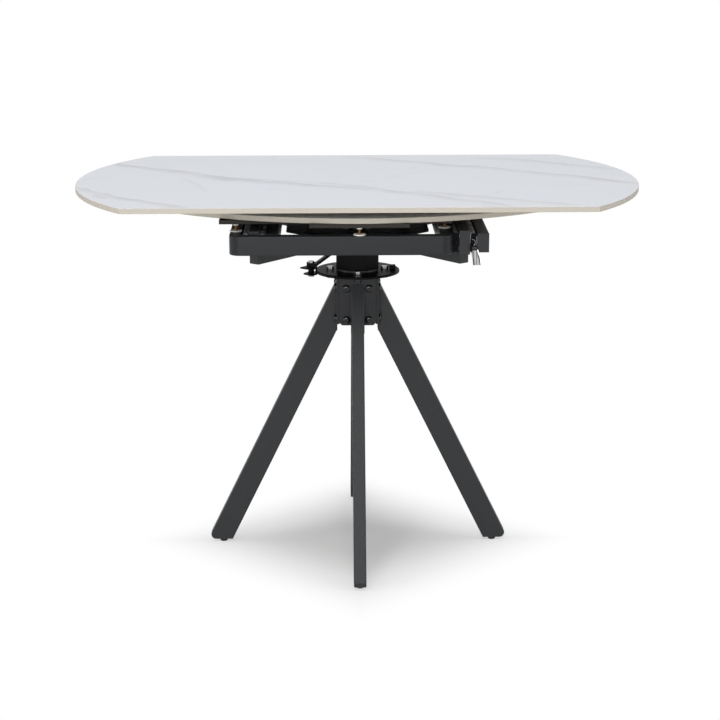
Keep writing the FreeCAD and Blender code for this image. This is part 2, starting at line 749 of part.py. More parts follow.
def build_swivel():
    """Hub with its bushes, and the spindle and flanged nut that hold it."""
    blank = hub_bar("hub_blank", "Sizes.hub_height", "Places.hub_bottom")
    foot = ("0", "0", "Places.hub_bottom - Sizes.cut_overrun")
    drill = rod("hub_drill", "Sizes.hub_bore", "Sizes.hub_height + 2 * Sizes.cut_overrun", foot)
    node("hub", cut("hub", blank, drill))

    bore = "Sizes.hub_bore / 2"
    inside = "(Sizes.spindle_diameter / 2 + Sizes.running_clearance)"
    outside = f"({bore} - Sizes.bush_fit)"
    lower_bush = new_body("lower_bush")
    thrust = "Places.hub_bottom - Sizes.thrust_thickness"
    shoulder = "Places.hub_bottom + Sizes.bush_height"
    section = [
        (inside, thrust),
        ("Places.hub_radius", thrust),
        ("Places.hub_radius", "Places.hub_bottom"),
        (outside, "Places.hub_bottom"),
        (outside, shoulder),
        (inside, shoulder),
    ]
    revolve(lower_bush, section)
    upper_bush = new_body("upper_bush")
    shoulder = "Places.rail_bottom - Sizes.bush_height"
    section = [
        (inside, shoulder),
        (outside, shoulder),
        (outside, "Places.rail_bottom"),
        (inside, "Places.rail_bottom"),
    ]
    revolve(upper_bush, section)
    node("hub_bushes", group("hub_bushes", [lower_bush, upper_bush]))

    spindle = new_body("spindle")
    thread_end = "Places.spindle_shoulder + Sizes.thread_length"
    section = [
        ("0", "Places.plate_top"),
        ("Sizes.spindle_diameter / 2", "Places.plate_top"),
        ("Sizes.spindle_diameter / 2", "Places.spindle_shoulder"),
        ("Sizes.thread_diameter / 2", "Places.spindle_shoulder"),
        ("Sizes.thread_diameter / 2", thread_end),
        ("0", thread_end),
    ]
    revolve(spindle, section)
    node("spindle", spindle)

    foot = ("0", "0", "Places.spindle_shoulder")
    flange = rod("nut_flange", "Sizes.nut_flange_diameter", "Sizes.nut_flange_height", foot)
    height = "Sizes.nut_flange_height + Sizes.nut_height"
    nut = join("nut_blank", [flange, hexagon("nut_hexagon", "Sizes.nut_corner_diameter", height, foot)])
    thread = rod("nut_thread", "Sizes.thread_diameter + 2 * Sizes.bush_fit", "Sizes.thread_length", foot)
    node("spindle_nut", cut("spindle_nut", nut, thread))


def deck_outline():
    """Deck plan: a rectangle with its corners cut off."""
    end = "(Places.deck_half)"
    side = "(Sizes.deck_width / 2)"
    along = "(Places.deck_half - Sizes.deck_corner)"
    across = "(Sizes.deck_width / 2 - Sizes.deck_corner)"
    front = [("-" + along, "-" + side), (along, "-" + side), (end, "-" + across)]
    rear = [(end, across), (along, side), ("-" + along, side)]
    return front + rear + [("-" + end, across), ("-" + end, "-" + across)]


def build_top_support():
    """Deck on the spider, bridge plates, posts on the rails, and the two beams under the slab."""
    sheet = new_body("deck_sheet")
    pad(sheet, outline(sheet, "XY_Plane", deck_outline(), "Places.rail_bottom"), "Sizes.deck_thickness")
    foot = ("0", "0", "Places.rail_bottom - Sizes.cut_overrun")
    hole = rod("deck_hole", "Sizes.deck_hole", "Sizes.deck_thickness + 2 * Sizes.cut_overrun", foot)
    node("deck", cut("deck", sheet, hole))

    posts = []
    for name, side in (("right", 1), ("left", -1)):
        size = ("Sizes.bridge_thickness", "Sizes.deck_width", "Places.beam_bottom - Places.deck_top")
        middle = f"{side} * Sizes.bridge_spacing / 2"
        corner = (f"{middle} - Sizes.bridge_thickness / 2", "-Sizes.deck_width / 2", "Places.deck_top")
        node(f"bridge_plate_{name}", box(f"bridge_plate_{name}", size, corner))
        for end in (1, -1):
            size = ("Sizes.rail_width", "Sizes.beam_width", "Places.beam_bottom - Places.rail_top")
            across = f"{side} * Places.rail_middle - Sizes.rail_width / 2"
            along = f"{end} * Sizes.beam_spacing / 2 - Sizes.beam_width / 2"
            posts.append(box("rail_post", size, (across, along, "Places.rail_top")))
    node("rail_posts", group("rail_posts", posts))

    for name, side in (("front", -1), ("rear", 1)):
        size = ("Sizes.beam_length", "Sizes.beam_width", "Sizes.beam_height")
        along = f"{side} * Sizes.beam_spacing / 2 - Sizes.beam_width / 2"
        corner = ("-Sizes.beam_length / 2", along, "Places.beam_bottom")
        label = f"top_beam_{name}"
        node(label, rectangular_tube(label, size, corner, "Sizes.beam_wall", 0))


def build_swivel_plate():
    """Round plate on the column, drilled for its bolts, with an upstand that marks the home position."""
    disc = new_body("plate_disc")
    edge = "Sizes.plate_diameter / 2"
    section = [
        ("0", "Places.plate_bottom"),
        (edge, "Places.plate_bottom"),
        (edge, "Places.plate_top - Sizes.plate_edge"),
        (f"{edge} - Sizes.plate_edge", "Places.plate_top"),
        ("0", "Places.plate_top"),
    ]
    revolve(disc, section)
    size = ("Sizes.stop_length", "Sizes.stop_width", "Sizes.stop_height")
    stop = box("plate_stop", size, ("Sizes.stop_place", "-Sizes.stop_width / 2", "Places.plate_top"))
    holes = []
    bolts = []
    for x, y in ((0, -1), (1, 0), (0, 1), (-1, 0)):
        place = (f"{x} * Sizes.plate_bolt_place", f"{y} * Sizes.plate_bolt_place")
        bottom = "Places.plate_bottom - Sizes.cut_overrun"
        bore = "Sizes.plate_bolt_diameter + 2 * Sizes.hole_clearance"
        depth = "Sizes.plate_thickness + 2 * Sizes.cut_overrun"
        holes.append(rod("plate_hole", bore, depth, (*place, bottom)))
        across = "Sizes.plate_head_diameter"
        seat = (*place, "Places.plate_top")
        head = hexagon("plate_head", across, "Sizes.plate_head_height", seat)
        nut_foot = (*place, "Places.flange_bottom - Sizes.plate_nut_height")
        nut = hexagon("plate_nut", across, "Sizes.plate_nut_height", nut_foot)
        shank_foot = (*place, "Places.flange_bottom")
        shank_length = "Places.plate_top - Places.flange_bottom"
        shank = rod("plate_shank", "Sizes.plate_bolt_diameter", shank_length, shank_foot)
        bolts.append(join("plate_bolt", [head, shank, nut]))
    blank = join("plate_blank", [disc, stop])
    node("swivel_plate", cut("swivel_plate", blank, group("plate_holes", holes)))
    node("plate_bolts", group("plate_bolts", bolts))


def leg_bolt_places():
    """Sideways place and level of the four bolts on one face of the column."""
    levels = ("Places.upper_bolt_level", "Places.lower_bolt_level")
    return [(f"{side} * Sizes.leg_bolt_spread / 2", level) for level in levels for side in (1, -1)]


def build_column():
    """Square column tube with a closed bottom, drilled for the bracket bolts."""
    size = ("Sizes.column_side", "Sizes.column_side", "Sizes.column_length")
    edge = "-Sizes.column_side / 2"
    corner = (edge, edge, "Places.plate_bottom - Sizes.column_length")
    core_size = [f"{size[0]} - 2 * Sizes.column_wall", f"{size[1]} - 2 * Sizes.column_wall", size[2]]
    core_corner = [f"{place} + Sizes.column_wall" for place in corner]
    tube = cut("column_tube", box("column_skin", size, corner), box("column_core", core_size, core_corner))
    bore = "Sizes.leg_bolt_diameter + 2 * Sizes.hole_clearance"
    length = "Sizes.column_side + 2 * Sizes.cut_overrun"
    start = f"-({length}) / 2"
    drills = []
    for sideways, level in leg_bolt_places():
        drills.append(rod("column_drill", bore, length, (sideways, start, level), FreeCAD.Vector(0, 1, 0)))
        drills.append(rod("column_drill", bore, length, (start, sideways, level), FreeCAD.Vector(1, 0, 0)))
    node("column", cut("column", tube, group("column_drills", drills)))


def build_bracket(name, turn):
    """Angle bracket: upright plate on the column, flange under the swivel plate."""
    label = f"leg_bracket_{name}"
    body = new_body(f"{label}_blank")
    inner = "-Sizes.column_side / 2"
    face = "-Places.bracket_face"
    rim = f"({face} - Sizes.flange_reach)"
    corners = [
        (inner, "Places.bracket_bottom"),
        (inner, "Places.plate_bottom"),
        (rim, "Places.plate_bottom"),
        (rim, "Places.flange_bottom"),
        (f"{face} - Sizes.bend_radius", "Places.flange_bottom", "Sizes.bend_radius", LEFT),
        (face, "Places.flange_bottom - Sizes.bend_radius"),
        (face, "Places.bracket_bottom"),
    ]
    pad(body, outline(body, "YZ_Plane", corners), "Sizes.bracket_width", symmetric=True)
    bottom = number("Places.bracket_bottom")
    outer = number(rim)

    def is_bottom_corner(edge):
        extent = edge.BoundBox
        return abs(extent.ZMax - bottom) < SAME_PLACE and extent.XLength < SAME_PLACE

    def is_flange_corner(edge):
        extent = edge.BoundBox
        return abs(extent.YMin - outer) < SAME_PLACE and extent.XLength + extent.YLength < SAME_PLACE

    dress(body, "Chamfer", "Size", "Sizes.bracket_chamfer", is_bottom_corner)
    dress(body, "Chamfer", "Size", "Sizes.flange_chamfer", is_flange_corner)
    bore = "Sizes.leg_bolt_diameter + 2 * Sizes.hole_clearance"
    length = "Sizes.bracket_thickness + 2 * Sizes.cut_overrun"
    start = f"{face} - Sizes.cut_overrun"
    along = FreeCAD.Vector(0, 1, 0)
    drills = [rod(f"{label}_drill", bore, length, (x, start, z), along) for x, z in leg_bolt_places()]
    bore = "Sizes.plate_bolt_diameter + 2 * Sizes.hole_clearance"
    foot = ("0", "-Sizes.plate_bolt_place", "Places.flange_bottom - Sizes.cut_overrun")
    drills.append(rod(f"{label}_drill", bore, "Sizes.flange_thickness + 2 * Sizes.cut_overrun", foot))
    node(label, cut(label, body, group(f"{label}_drills", drills)), turn)


def build_leg_bolts():
    """Button-head bolts through the four brackets into the column wall."""
    bolts = []
    shank_length = "Sizes.bracket_thickness + Sizes.column_wall + Sizes.leg_bolt_grip"
    half_head = "Sizes.leg_head_diameter / 2"
    half_shank = "Sizes.leg_bolt_diameter / 2"
    section = [
        ("0", f"-({shank_length})"),
        (half_shank, f"-({shank_length})"),
        (half_shank, "0"),
        (half_head, "0"),
        (half_head, "Sizes.leg_head_height - Sizes.leg_head_round", "Sizes.leg_head_round", RIGHT),
        (f"{half_head} - Sizes.leg_head_round", "Sizes.leg_head_height"),
        ("0", "Sizes.leg_head_height"),
    ]
    for name, turn in FOUR_SIDES:
        for index, (sideways, level) in enumerate(leg_bolt_places()):
            bolt = new_body(f"leg_bolt_{name}_{index}")
            revolve(bolt, section)
            seat = f"vector({sideways}; -Places.bracket_face; {level})"
            lie = f"placement({seat}; rotation(vector(1; 0; 0); 90))"
            swing = f"placement(vector(0; 0; 0); rotation(vector(0; 0; 1); {turn}))"
            bolt.setExpression("Placement", f"{swing} * {lie}")
            bolts.append(bolt)
    node("leg_bolts", group("leg_bolts", bolts))


def leg_blank(name, inset, end):
    """Side view of a leg, drawn in by an inset, extruded to the leg's width and rounded at the toe."""
    body = new_body(name)
    slope = "Places.leg_rise / Places.leg_run"
    shift = f"({inset}) * Places.leg_stretch"
    width = "Sizes.leg_depth * Places.leg_stretch"
    floor = f"(Sizes.glide_height + {inset})"
    drift = f"({inset}) / ({slope})"
    toe = f"(Sizes.foot_radius - {drift} - {shift})"
    heel = f"(Sizes.foot_radius - {drift} - {width} + {shift})"
    upper = f"Places.leg_top - ({end} - Places.bracket_face + {shift}) * {slope}"
    lower = f"Places.leg_top - ({end} - Places.bracket_face + {width} - {shift}) * {slope}"
    corners = [(f"-({end})", upper), (f"-{toe}", floor), (f"-{heel}", floor), (f"-({end})", lower)]
    pad(body, outline(body, "YZ_Plane", corners), f"Sizes.leg_width - 2 * ({inset})", symmetric=True)
    toe_place = -number(toe)

    def is_toe(edge):
        extent = edge.BoundBox
        return abs(extent.YMin - toe_place) < SAME_PLACE and extent.YLength < SAME_PLACE

    dress(body, "Fillet", "Radius", f"Sizes.toe_radius - {inset}", is_toe)
    return body


def build_leg(name, turn):
    """Slanted tube leg, closed at the foot and open towards the bracket that it is welded to."""
    label = f"leg_{name}"
    skin = leg_blank(f"{label}_skin", "0", "Places.bracket_face")
    span = number("Places.leg_rise") / 2

    def is_long(edge):
        return edge.BoundBox.ZLength > span

    dress(skin, "Fillet", "Radius", "Sizes.leg_edge", is_long)
    core = leg_blank(f"{label}_core", "Sizes.leg_wall", "Places.bracket_face - Sizes.cut_overrun")
    node(label, cut(label, skin, core), turn)


def build_glide(name, turn):
    """Round glide under a foot."""
    label = f"foot_glide_{name}"
    edge = "Sizes.glide_diameter / 2"
    glide = new_body(f"{label}_blank")
    section = [
        ("0", "0"),
        (f"{edge} - Sizes.glide_edge", "0"),
        (edge, "Sizes.glide_edge"),
        (edge, "Sizes.glide_height"),
        ("0", "Sizes.glide_height"),
    ]
    revolve(glide, section)
    glide.setExpression("Placement.Base.y", "-Places.glide_place")
    node(label, group(label, [glide]), turn)


def build_lock_lever(name, turn):
    """Flared lever that hangs on a pin at the end of a rail, and the plate that holds the pin."""
    across = FreeCAD.Vector(1, 0, 0)
    pin_foot = ("Places.rail_outer", "-Places.lever_place", "Places.lever_level")
    size = ("Sizes.lock_plate_sheet", "Sizes.lock_plate_length", "Sizes.lock_plate_height")
    front = "-(Places.arm_end - Sizes.lock_plate_back) - Sizes.lock_plate_length"
    corner = ("Places.rail_outer", front, "Places.lever_level - Sizes.lock_plate_height / 2")
    plate = box(f"lock_plate_{name}", size, corner)
    pin_length = "Sizes.lock_plate_sheet + 2 * Sizes.lever_side_gap + Sizes.lever_eye_length"
    pin = rod(f"lock_pin_{name}", "Sizes.lever_pin_diameter", pin_length, pin_foot, across)
    node(f"lock_bracket_{name}", join(f"lock_bracket_{name}", [plate, pin]), turn)

    label = f"lock_lever_{name}"
    strip = new_body(f"{label}_strip")
    middle = "Places.lever_middle"
    foot = f"({middle} + Sizes.lever_lean)"
    bottom = "Places.lever_level - Sizes.lever_length"
    corners = [
        (f"{middle} - Sizes.lever_neck / 2", "Places.lever_level", "Sizes.lever_side_radius", LEFT),
        (f"{foot} - Sizes.lever_flare / 2", bottom),
        (f"{foot} + Sizes.lever_flare / 2", bottom, "Sizes.lever_side_radius", LEFT),
        (f"{middle} + Sizes.lever_neck / 2", "Places.lever_level"),
    ]
    sketch = outline(strip, "XZ_Plane", corners, "Places.lever_place")
    pad(strip, sketch, "Sizes.lever_sheet", symmetric=True)
    eye_foot = ("Places.lever_inner", "-Places.lever_place", "Places.lever_level")
    eye = rod(f"{label}_eye", "Sizes.lever_eye_diameter", "Sizes.lever_eye_length", eye_foot, across)
    bore = "Sizes.lever_pin_diameter + 2 * Sizes.lever_play"
    bore_foot = (f"{middle} - Sizes.lever_flare", *eye_foot[1:])
    drill = rod(f"{label}_drill", bore, "2 * Sizes.lever_flare", bore_foot, across)
    node(label, cut(label, join(f"{label}_blank", [strip, eye]), drill), turn)


def jaw_outline(tip_share):
    """Plan of a brake jaw: a blunt end over the rim and a pointed tip outside its bolt."""
    half = "Sizes.brake_width / 2"
    inner = "-Places.jaw_inner"
    bolt = "-Places.brake_place"
    tip = f"({bolt} - Sizes.brake_tip_reach * {tip_share})"
    return [
        (inner, f"-({half}) * (1 - {SHOULDER_SHARE})"),
        (inner, f"{half} * (1 - {SHOULDER_SHARE})"),
        (bolt, half),
        (tip, f"-({half}) * {TIP_SIDE_SHARE}"),
        (bolt, f"-({half})"),
    ]


def build_brake():
    """Forked brake lever at the rim of the swivel plate, on a bolt under a strut from the hub."""
    place = ("-Places.brake_place", "0")
    bore = "Sizes.brake_bolt_diameter + 2 * Sizes.running_clearance"
    pieces = []
    jaws = (("upper", "Places.upper_jaw", 1), ("lower", "Places.lower_jaw", LOWER_TIP_SHARE))
    for name, bottom, share in jaws:
        jaw = new_body(f"brake_jaw_{name}")
        pad(jaw, outline(jaw, "XY_Plane", jaw_outline(share), bottom), "Sizes.brake_sheet")
        pieces.append(jaw)
    shoe_size = ("Sizes.brake_bite", "Sizes.brake_shoe_width", "Sizes.brake_lift - Sizes.brake_air")
    shoe_corner = ("-(Places.jaw_inner + Sizes.brake_bite)", "-Sizes.brake_shoe_width / 2")
    for level in ("Places.plate_top + Sizes.brake_air", "Places.lower_jaw + Sizes.brake_sheet"):
        pieces.append(box("brake_shoe", shoe_size, (*shoe_corner, level)))
    sleeve_length = "Places.upper_jaw - Places.lower_jaw"
    sleeve_foot = (*place, "Places.lower_jaw")
    pieces.append(rod("brake_sleeve", "Sizes.brake_sleeve_diameter", sleeve_length, sleeve_foot))
    depth = f"{sleeve_length} + Sizes.brake_sheet + 2 * Sizes.cut_overrun"
    drill = rod("brake_drill", bore, depth, (*place, "Places.lower_jaw - Sizes.cut_overrun"))
    node("brake_lever", cut("brake_lever", join("brake_blank", pieces), drill))

    strut = new_body("strut_bar")
    end = "-(Places.brake_place + Sizes.strut_foot)"
    knee = "-(Places.brake_place - Sizes.strut_foot)"
    weld = "-(Places.hub_radius - Sizes.cut_overrun)"
    top = "Places.strut_bottom + Sizes.strut_thickness"
    corners = [
        (end, "Places.strut_bottom"),
        (knee, "Places.strut_bottom"),
        (weld, "Places.strut_bottom + Sizes.strut_rise"),
        (weld, f"{top} + Sizes.strut_rise"),
        (knee, top),
        (end, top),
    ]
    pad(strut, outline(strut, "XZ_Plane", corners), "Sizes.strut_width", symmetric=True)
    saddle = hub_bar("strut_saddle", "Sizes.hub_height", "Places.hub_bottom")
    foot = (*place, "Places.strut_bottom - Sizes.cut_overrun")
    hole_bore = "Sizes.brake_bolt_diameter + 2 * Sizes.hole_clearance"
    hole = rod("strut_hole", hole_bore, "Sizes.strut_thickness + 2 * Sizes.cut_overrun", foot)
    node("brake_strut", cut("brake_strut", strut, group("strut_cuts", [saddle, hole])))

    shank_bottom = "Places.lower_jaw - Sizes.strut_gap"
    nut_bottom = f"{shank_bottom} - Sizes.brake_head_height"
    shank_length = f"{top} - ({shank_bottom})"
    shank = rod("brake_shank", "Sizes.brake_bolt_diameter", shank_length, (*place, shank_bottom))
    across = "Sizes.brake_head_diameter"
    head = hexagon("brake_head", across, "Sizes.brake_head_height", (*place, top))
    nut = hexagon("brake_nut", across, "Sizes.brake_head_height", (*place, nut_bottom))
    node("brake_bolt", join("brake_bolt", [head, shank, nut]))


def build_table():
    """Every sub-part of the table."""
    build_column()
    build_swivel_plate()
    build_leg_bolts()
    for name, turn in FOUR_SIDES:
        build_bracket(name, str(turn))
        build_leg(name, str(turn))
        build_glide(name, str(turn))
    build_swivel()
    arm_turns = {
        "front_right": "Places.spider_angle",
        "front_left": "360 deg - Places.spider_angle",
        "rear_left": "180 deg + Places.spider_angle",
        "rear_right": "180 deg - Places.spider_angle",
    }
    for name, turn in arm_turns.items():
        build_spider_arm(name, turn)
    for name, turn in RIGHT_AND_LEFT:
        build_side_rail(name, str(turn))
        build_slide_channels(name, str(turn))
        build_lock_lever(name, str(turn))
    build_tube_caps()
    build_top_support()
    build_main_top()
    build_brake()
    for name, turn in FRONT_AND_REAR:
        build_leaf(name, str(turn))
        build_tray(name, str(turn))
        build_posts(name, str(turn))
        build_leaf_frame(name, str(turn))
        build_runners_and_cages(name, str(turn))


def write_parts():
    """Check the whole document, then write one file for each sub-part."""
    doc.recompute()
    failed = [thing.Name for thing in doc.Objects if {"Invalid", "Error"} & set(thing.State)]
    failed += [part.Label for part in nodes if part.Shape.isNull() or not part.Shape.isValid()]
    if failed:
        raise RuntimeError("not built: " + ", ".join(failed))
    os.makedirs("parts", exist_ok=True)
    for part in nodes:
        part.Shape.exportStep(f"parts/{part.Label}.step")
    print(len(nodes), "sub-parts written")


build_table()
write_parts()
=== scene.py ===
"""Extending dining table on a swivel base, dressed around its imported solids.

Lengths in the classes are in millimetres, as in the solids; the scene itself is in metres.
"""

from __future__ import annotations

import json
import logging
import math
from collections.abc import Iterable
from dataclasses import dataclass, replace
from enum import Enum

import bmesh
import bpy
from mathutils import Matrix, Vector

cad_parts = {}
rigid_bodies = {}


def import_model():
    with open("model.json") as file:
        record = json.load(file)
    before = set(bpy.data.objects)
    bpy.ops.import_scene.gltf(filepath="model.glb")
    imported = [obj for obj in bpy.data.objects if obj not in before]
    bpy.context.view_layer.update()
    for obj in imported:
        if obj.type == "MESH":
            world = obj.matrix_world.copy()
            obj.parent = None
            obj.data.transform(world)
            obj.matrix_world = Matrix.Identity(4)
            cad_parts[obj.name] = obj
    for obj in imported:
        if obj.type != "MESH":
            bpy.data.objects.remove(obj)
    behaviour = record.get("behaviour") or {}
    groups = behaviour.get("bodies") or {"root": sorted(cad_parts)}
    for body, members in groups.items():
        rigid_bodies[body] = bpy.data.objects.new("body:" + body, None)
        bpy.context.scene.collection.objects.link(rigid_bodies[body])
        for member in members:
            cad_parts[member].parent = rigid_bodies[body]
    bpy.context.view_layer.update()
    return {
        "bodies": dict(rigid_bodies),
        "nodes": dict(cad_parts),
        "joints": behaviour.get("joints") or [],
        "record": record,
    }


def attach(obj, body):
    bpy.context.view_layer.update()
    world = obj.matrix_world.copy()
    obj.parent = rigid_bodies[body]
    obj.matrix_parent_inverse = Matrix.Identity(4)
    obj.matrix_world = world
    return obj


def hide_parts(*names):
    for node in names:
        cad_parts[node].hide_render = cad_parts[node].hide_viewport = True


MM = 0.001
FULL_TURN = 2 * math.pi
QUARTER_ABOUT_X = Matrix.Rotation(math.pi / 2, 4, "X")
QUARTER_ABOUT_Y = Matrix.Rotation(math.pi / 2, 4, "Y")
WELD_DISTANCE = 0.002
FLAT_ANGLE = math.radians(0.3)
EDGE_ANGLE = math.radians(28)
SHADE_ANGLE = math.radians(38)
ROUNDING_STEPS = 3
RING_SIDES = 24
HEX_SIDES = 6
BEND_STEPS = 6
# Edge radii of cut plate and moulded caps, of bent sheet and of drawn tube.
PLATE_EDGE, SHEET_EDGE, TUBE_EDGE = 0.6, 0.8, 1.6
# The wave texture runs through this many radians in one unit of length.
WAVE_RADIANS = 20
NOISE_MIDDLE = 0.5
# Sockets of the Mix node for colours, whose names its other data types share.
MIX_FACTOR, MIX_A, MIX_B, MIX_COLOUR = 0, 6, 7, 2
WHITE = (1, 1, 1, 1)

log = logging.getLogger("table")

Tree = bpy.types.NodeTree
Socket = bpy.types.NodeSocket
Outputs = bpy.types.NodeOutputs
Piece = bpy.types.Object
Mesh = bmesh.types.BMesh
Edges = list[bmesh.types.BMEdge]
Point = tuple[float, float, float]


class Body(Enum):
    """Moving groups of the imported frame."""

    BASE = "base"
    TURNTABLE = "turntable"
    BRAKE = "brake"
    FRONT_LEAF = "front_leaf"
    REAR_LEAF = "rear_leaf"
    FRONT_CAGES = "front_cages"
    REAR_CAGES = "rear_cages"
    RIGHT_LOCK = "right_lock_lever"
    LEFT_LOCK = "left_lock_lever"


class Turn(Enum):
    """Named places round the upright axis, each with its turn in degrees."""

    @property
    def label(self) -> str:
        """Name of the place, as the names of the solids have it."""
        return self.name.lower()

    @property
    def matrix(self) -> Matrix:
        """Turn that brings a piece from the first place to this one."""
        return turned(self.value)


class Quarter(Turn):
    """The four legs."""

    FRONT = 0
    RIGHT = 90
    REAR = 180
    LEFT = 270


class End(Turn):
    """The two leaves."""

    FRONT = 0
    REAR = 180


class Side(Turn):
    """The two rails with their slides and lock levers."""

    RIGHT = 0
    LEFT = 180


def turned(degrees: float) -> Matrix:
    """Turn about the table's upright axis."""
    return Matrix.Rotation(math.radians(degrees), 4, "Z")


def linear(colour: str) -> tuple[float, float, float, float]:
    """Linear colour of an sRGB hex value.

    Args:
        colour: Value such as "#C8CACC".

    Returns:
        Red, green, blue and an alpha of 1.
    """
    parts = [int(colour[place : place + 2], 16) / 255 for place in (1, 3, 5)]
    red, green, blue = (p / 12.92 if p <= 0.04045 else ((p + 0.055) / 1.055) ** 2.4 for p in parts)
    return red, green, blue, 1.0


def add_node(tree: Tree, kind: str, inputs: dict | None = None, **settings: object) -> Outputs:
    """Adds a shader node.

    Args:
        tree: Node tree that takes the node.
        kind: Blender's type name of the node, after its "ShaderNode".
        inputs: Values or output sockets, by the input's name or number.
        **settings: Properties of the node.

    Returns:
        The outputs of the new node.
    """
    node = tree.nodes.new(f"ShaderNode{kind}")
    for name, value in settings.items():
        setattr(node, name, value)
    for key, value in (inputs or {}).items():
        if isinstance(value, Socket):
            tree.links.new(value, node.inputs[key])
        else:
            node.inputs[key].default_value = value
    return node.outputs


def empty_tree(owner: bpy.types.Material | bpy.types.World) -> Tree:
    """Clears the nodes of a material or a world.

    Args:
        owner: The material or world.

    Returns:
        Its node tree.
    """
    owner.use_nodes = True
    owner.node_tree.nodes.clear()
    return owner.node_tree


def add_object(name: str, data: bpy.types.ID) -> Piece:
    """Puts a mesh, a lamp or a camera into the scene.

    Args:
        name: Name of the object.
        data: The mesh, lamp or camera.

    Returns:
        The new object.
    """
    made = bpy.data.objects.new(name, data)
    bpy.context.scene.collection.objects.link(made)
    return made


def per_metre(size: float) -> float:
    """Texture scale that gives features of a size in millimetres."""
    return 1 / (size * MM)


class Axis(Enum):
    """Ways in which bands can follow each other."""

    X = "X"
    Z = "Z"


class Pattern(Enum):
    """Texture nodes of the layers."""

    NOISE = "TexNoise"
    CELLS = "TexVoronoi"
    BANDS = "TexWave"


@dataclass(frozen=True)
class Layer:
    """Pattern in a surface: the size of its features, more settings and what it changes."""

    pattern: Pattern
    size: float
    settings: dict[str, float]
    gloss: bool = True
    relief: bool = True
    direction: Axis = Axis.X

    def add(self, tree: Tree, place: Socket) -> Socket:
        """Adds the pattern to a material.

        Args:
            tree: Node tree of the material.
            place: Coordinates of the surface.

        Returns:
            Output between 0 and 1.
        """
        inputs = {"Vector": place, "Scale": per_metre(self.size), **self.settings}
        if self.pattern is Pattern.BANDS:
            inputs["Scale"] *= FULL_TURN / WAVE_RADIANS
            return add_node(tree, "TexWave", inputs, bands_direction=self.direction.value)["Fac"]
        outputs = add_node(tree, self.pattern.value, inputs)
        if self.pattern is Pattern.CELLS:
            return add_node(tree, "SeparateColor", {"Color": outputs["Color"]})["Red"]
        return outputs["Fac"]


@dataclass(frozen=True)
class Finish:
    """Surface of one real material: its slot in the record, its two colours, gloss and relief.

    The gloss spread is how far the roughness goes down and up, and the relief is a height.
    """

    name: str
    slot: str
    colour: str
    second: str
    roughness: float
    metallic: float = 0.0
    specular: float = 0.5
    gloss_spread: float = 0.06
    relief: float = 0.02
    relief_strength: float = 0.3
    layers: tuple[Layer, ...] = ()

    def material(self) -> bpy.types.Material:
        """Material of this finish, made once.

        Returns:
            The node material.
        """
        found = bpy.data.materials.get(self.name)
        if found:
            return found
        made = bpy.data.materials.new(self.name)
        tree = empty_tree(made)
        values = {
            "Base Color": linear(self.colour),
            "Roughness": self.roughness,
            "Metallic": self.metallic,
            "Specular IOR Level": self.specular,
        }
        surface = add_node(tree, "BsdfPrincipled", values)["BSDF"]
        place = add_node(tree, "TexCoord")["Object"]
        for name, pattern in self.texture(tree, place).items():
            tree.links.new(pattern, surface.node.inputs[name])
        add_node(tree, "OutputMaterial", {"Surface": surface})
        return made

    def texture(self, tree: Tree, place: Socket) -> dict[str, Socket]:
        """Adds the layers: they change the gloss, with the colour, or raise the surface.

        Args:
            tree: Node tree of the material.
            place: Object coordinates.

        Returns:
            What the shader takes, by the names of its inputs.
        """
        low, high = self.roughness - self.gloss_spread, self.roughness + self.gloss_spread
        taken = {}
        for layer in self.layers:
            pattern = layer.add(tree, place)
            if layer.gloss:
                ends = {"Value": pattern, "To Min": low, "To Max": high}
                taken["Roughness"] = add_node(tree, "MapRange", ends)["Result"]
                mix = {MIX_FACTOR: pattern, MIX_A: linear(self.colour), MIX_B: linear(self.second)}
                taken["Base Color"] = add_node(tree, "Mix", mix, data_type="RGBA")[MIX_COLOUR]
            if layer.relief:
                taken["Normal"] = self.emboss(tree, pattern)
        return taken

    def emboss(self, tree: Tree, pattern: Socket) -> Socket:
        """Normal of the surface when a pattern raises it."""
        height = {"Height": pattern, "Distance": self.relief * MM, "Strength": self.relief_strength}
        return add_node(tree, "Bump", height)["Normal"]


@dataclass(frozen=True)
class PowderCoat(Finish):
    """Powder baked on steel: a satin skin with a fine orange peel and slightly uneven gloss.

    The peel is drawn coarser than the real 1 mm so that it shows.
    """

    gloss_spread: float = 0.05
    relief: float = 0.05
    relief_strength: float = 0.35
    layers: tuple[Layer, ...] = (
        Layer(Pattern.NOISE, 3.0, {"Detail": 2.0, "Roughness": 0.55}, gloss=False),
        Layer(Pattern.NOISE, 45.0, {"Detail": 3.0, "Roughness": 0.6}, relief=False),
    )


@dataclass(frozen=True)
class GalvanisedSheet(Finish):
    """Zinc-dipped sheet: crystals of zinc, each with its own grey and gloss, and a fine grain."""

    gloss_spread: float = 0.08
    relief_strength: float = 0.2
    layers: tuple[Layer, ...] = (
        Layer(Pattern.CELLS, 5.0, {"Randomness": 1.0}, relief=False),
        Layer(Pattern.NOISE, 0.8, {}, gloss=False),
    )


@dataclass(frozen=True)
class PlatedMetal(Finish):
    """Electroplated or blackened steel: a smooth skin with the faint, drifting tint of its bath."""

    gloss_spread: float = 0.03
    layers: tuple[Layer, ...] = (
        Layer(Pattern.NOISE, 8.0, {"Detail": 2.0, "Distortion": 0.6}, relief=False),
    )


@dataclass(frozen=True)
class ReflectionStripedChrome(Finish):
    """Chrome on strip: bright, with darker stripes along the strip that are painted reflections.

    The lines are drawn wider than the real 0.5 mm so that they show.
    """

    gloss_spread: float = 0.02
    # The bands paint dark reflections into the chrome's colour.
    layers: tuple[Layer, ...] = (Layer(Pattern.BANDS, 5.2, {"Distortion": 0.3}, relief=False),)


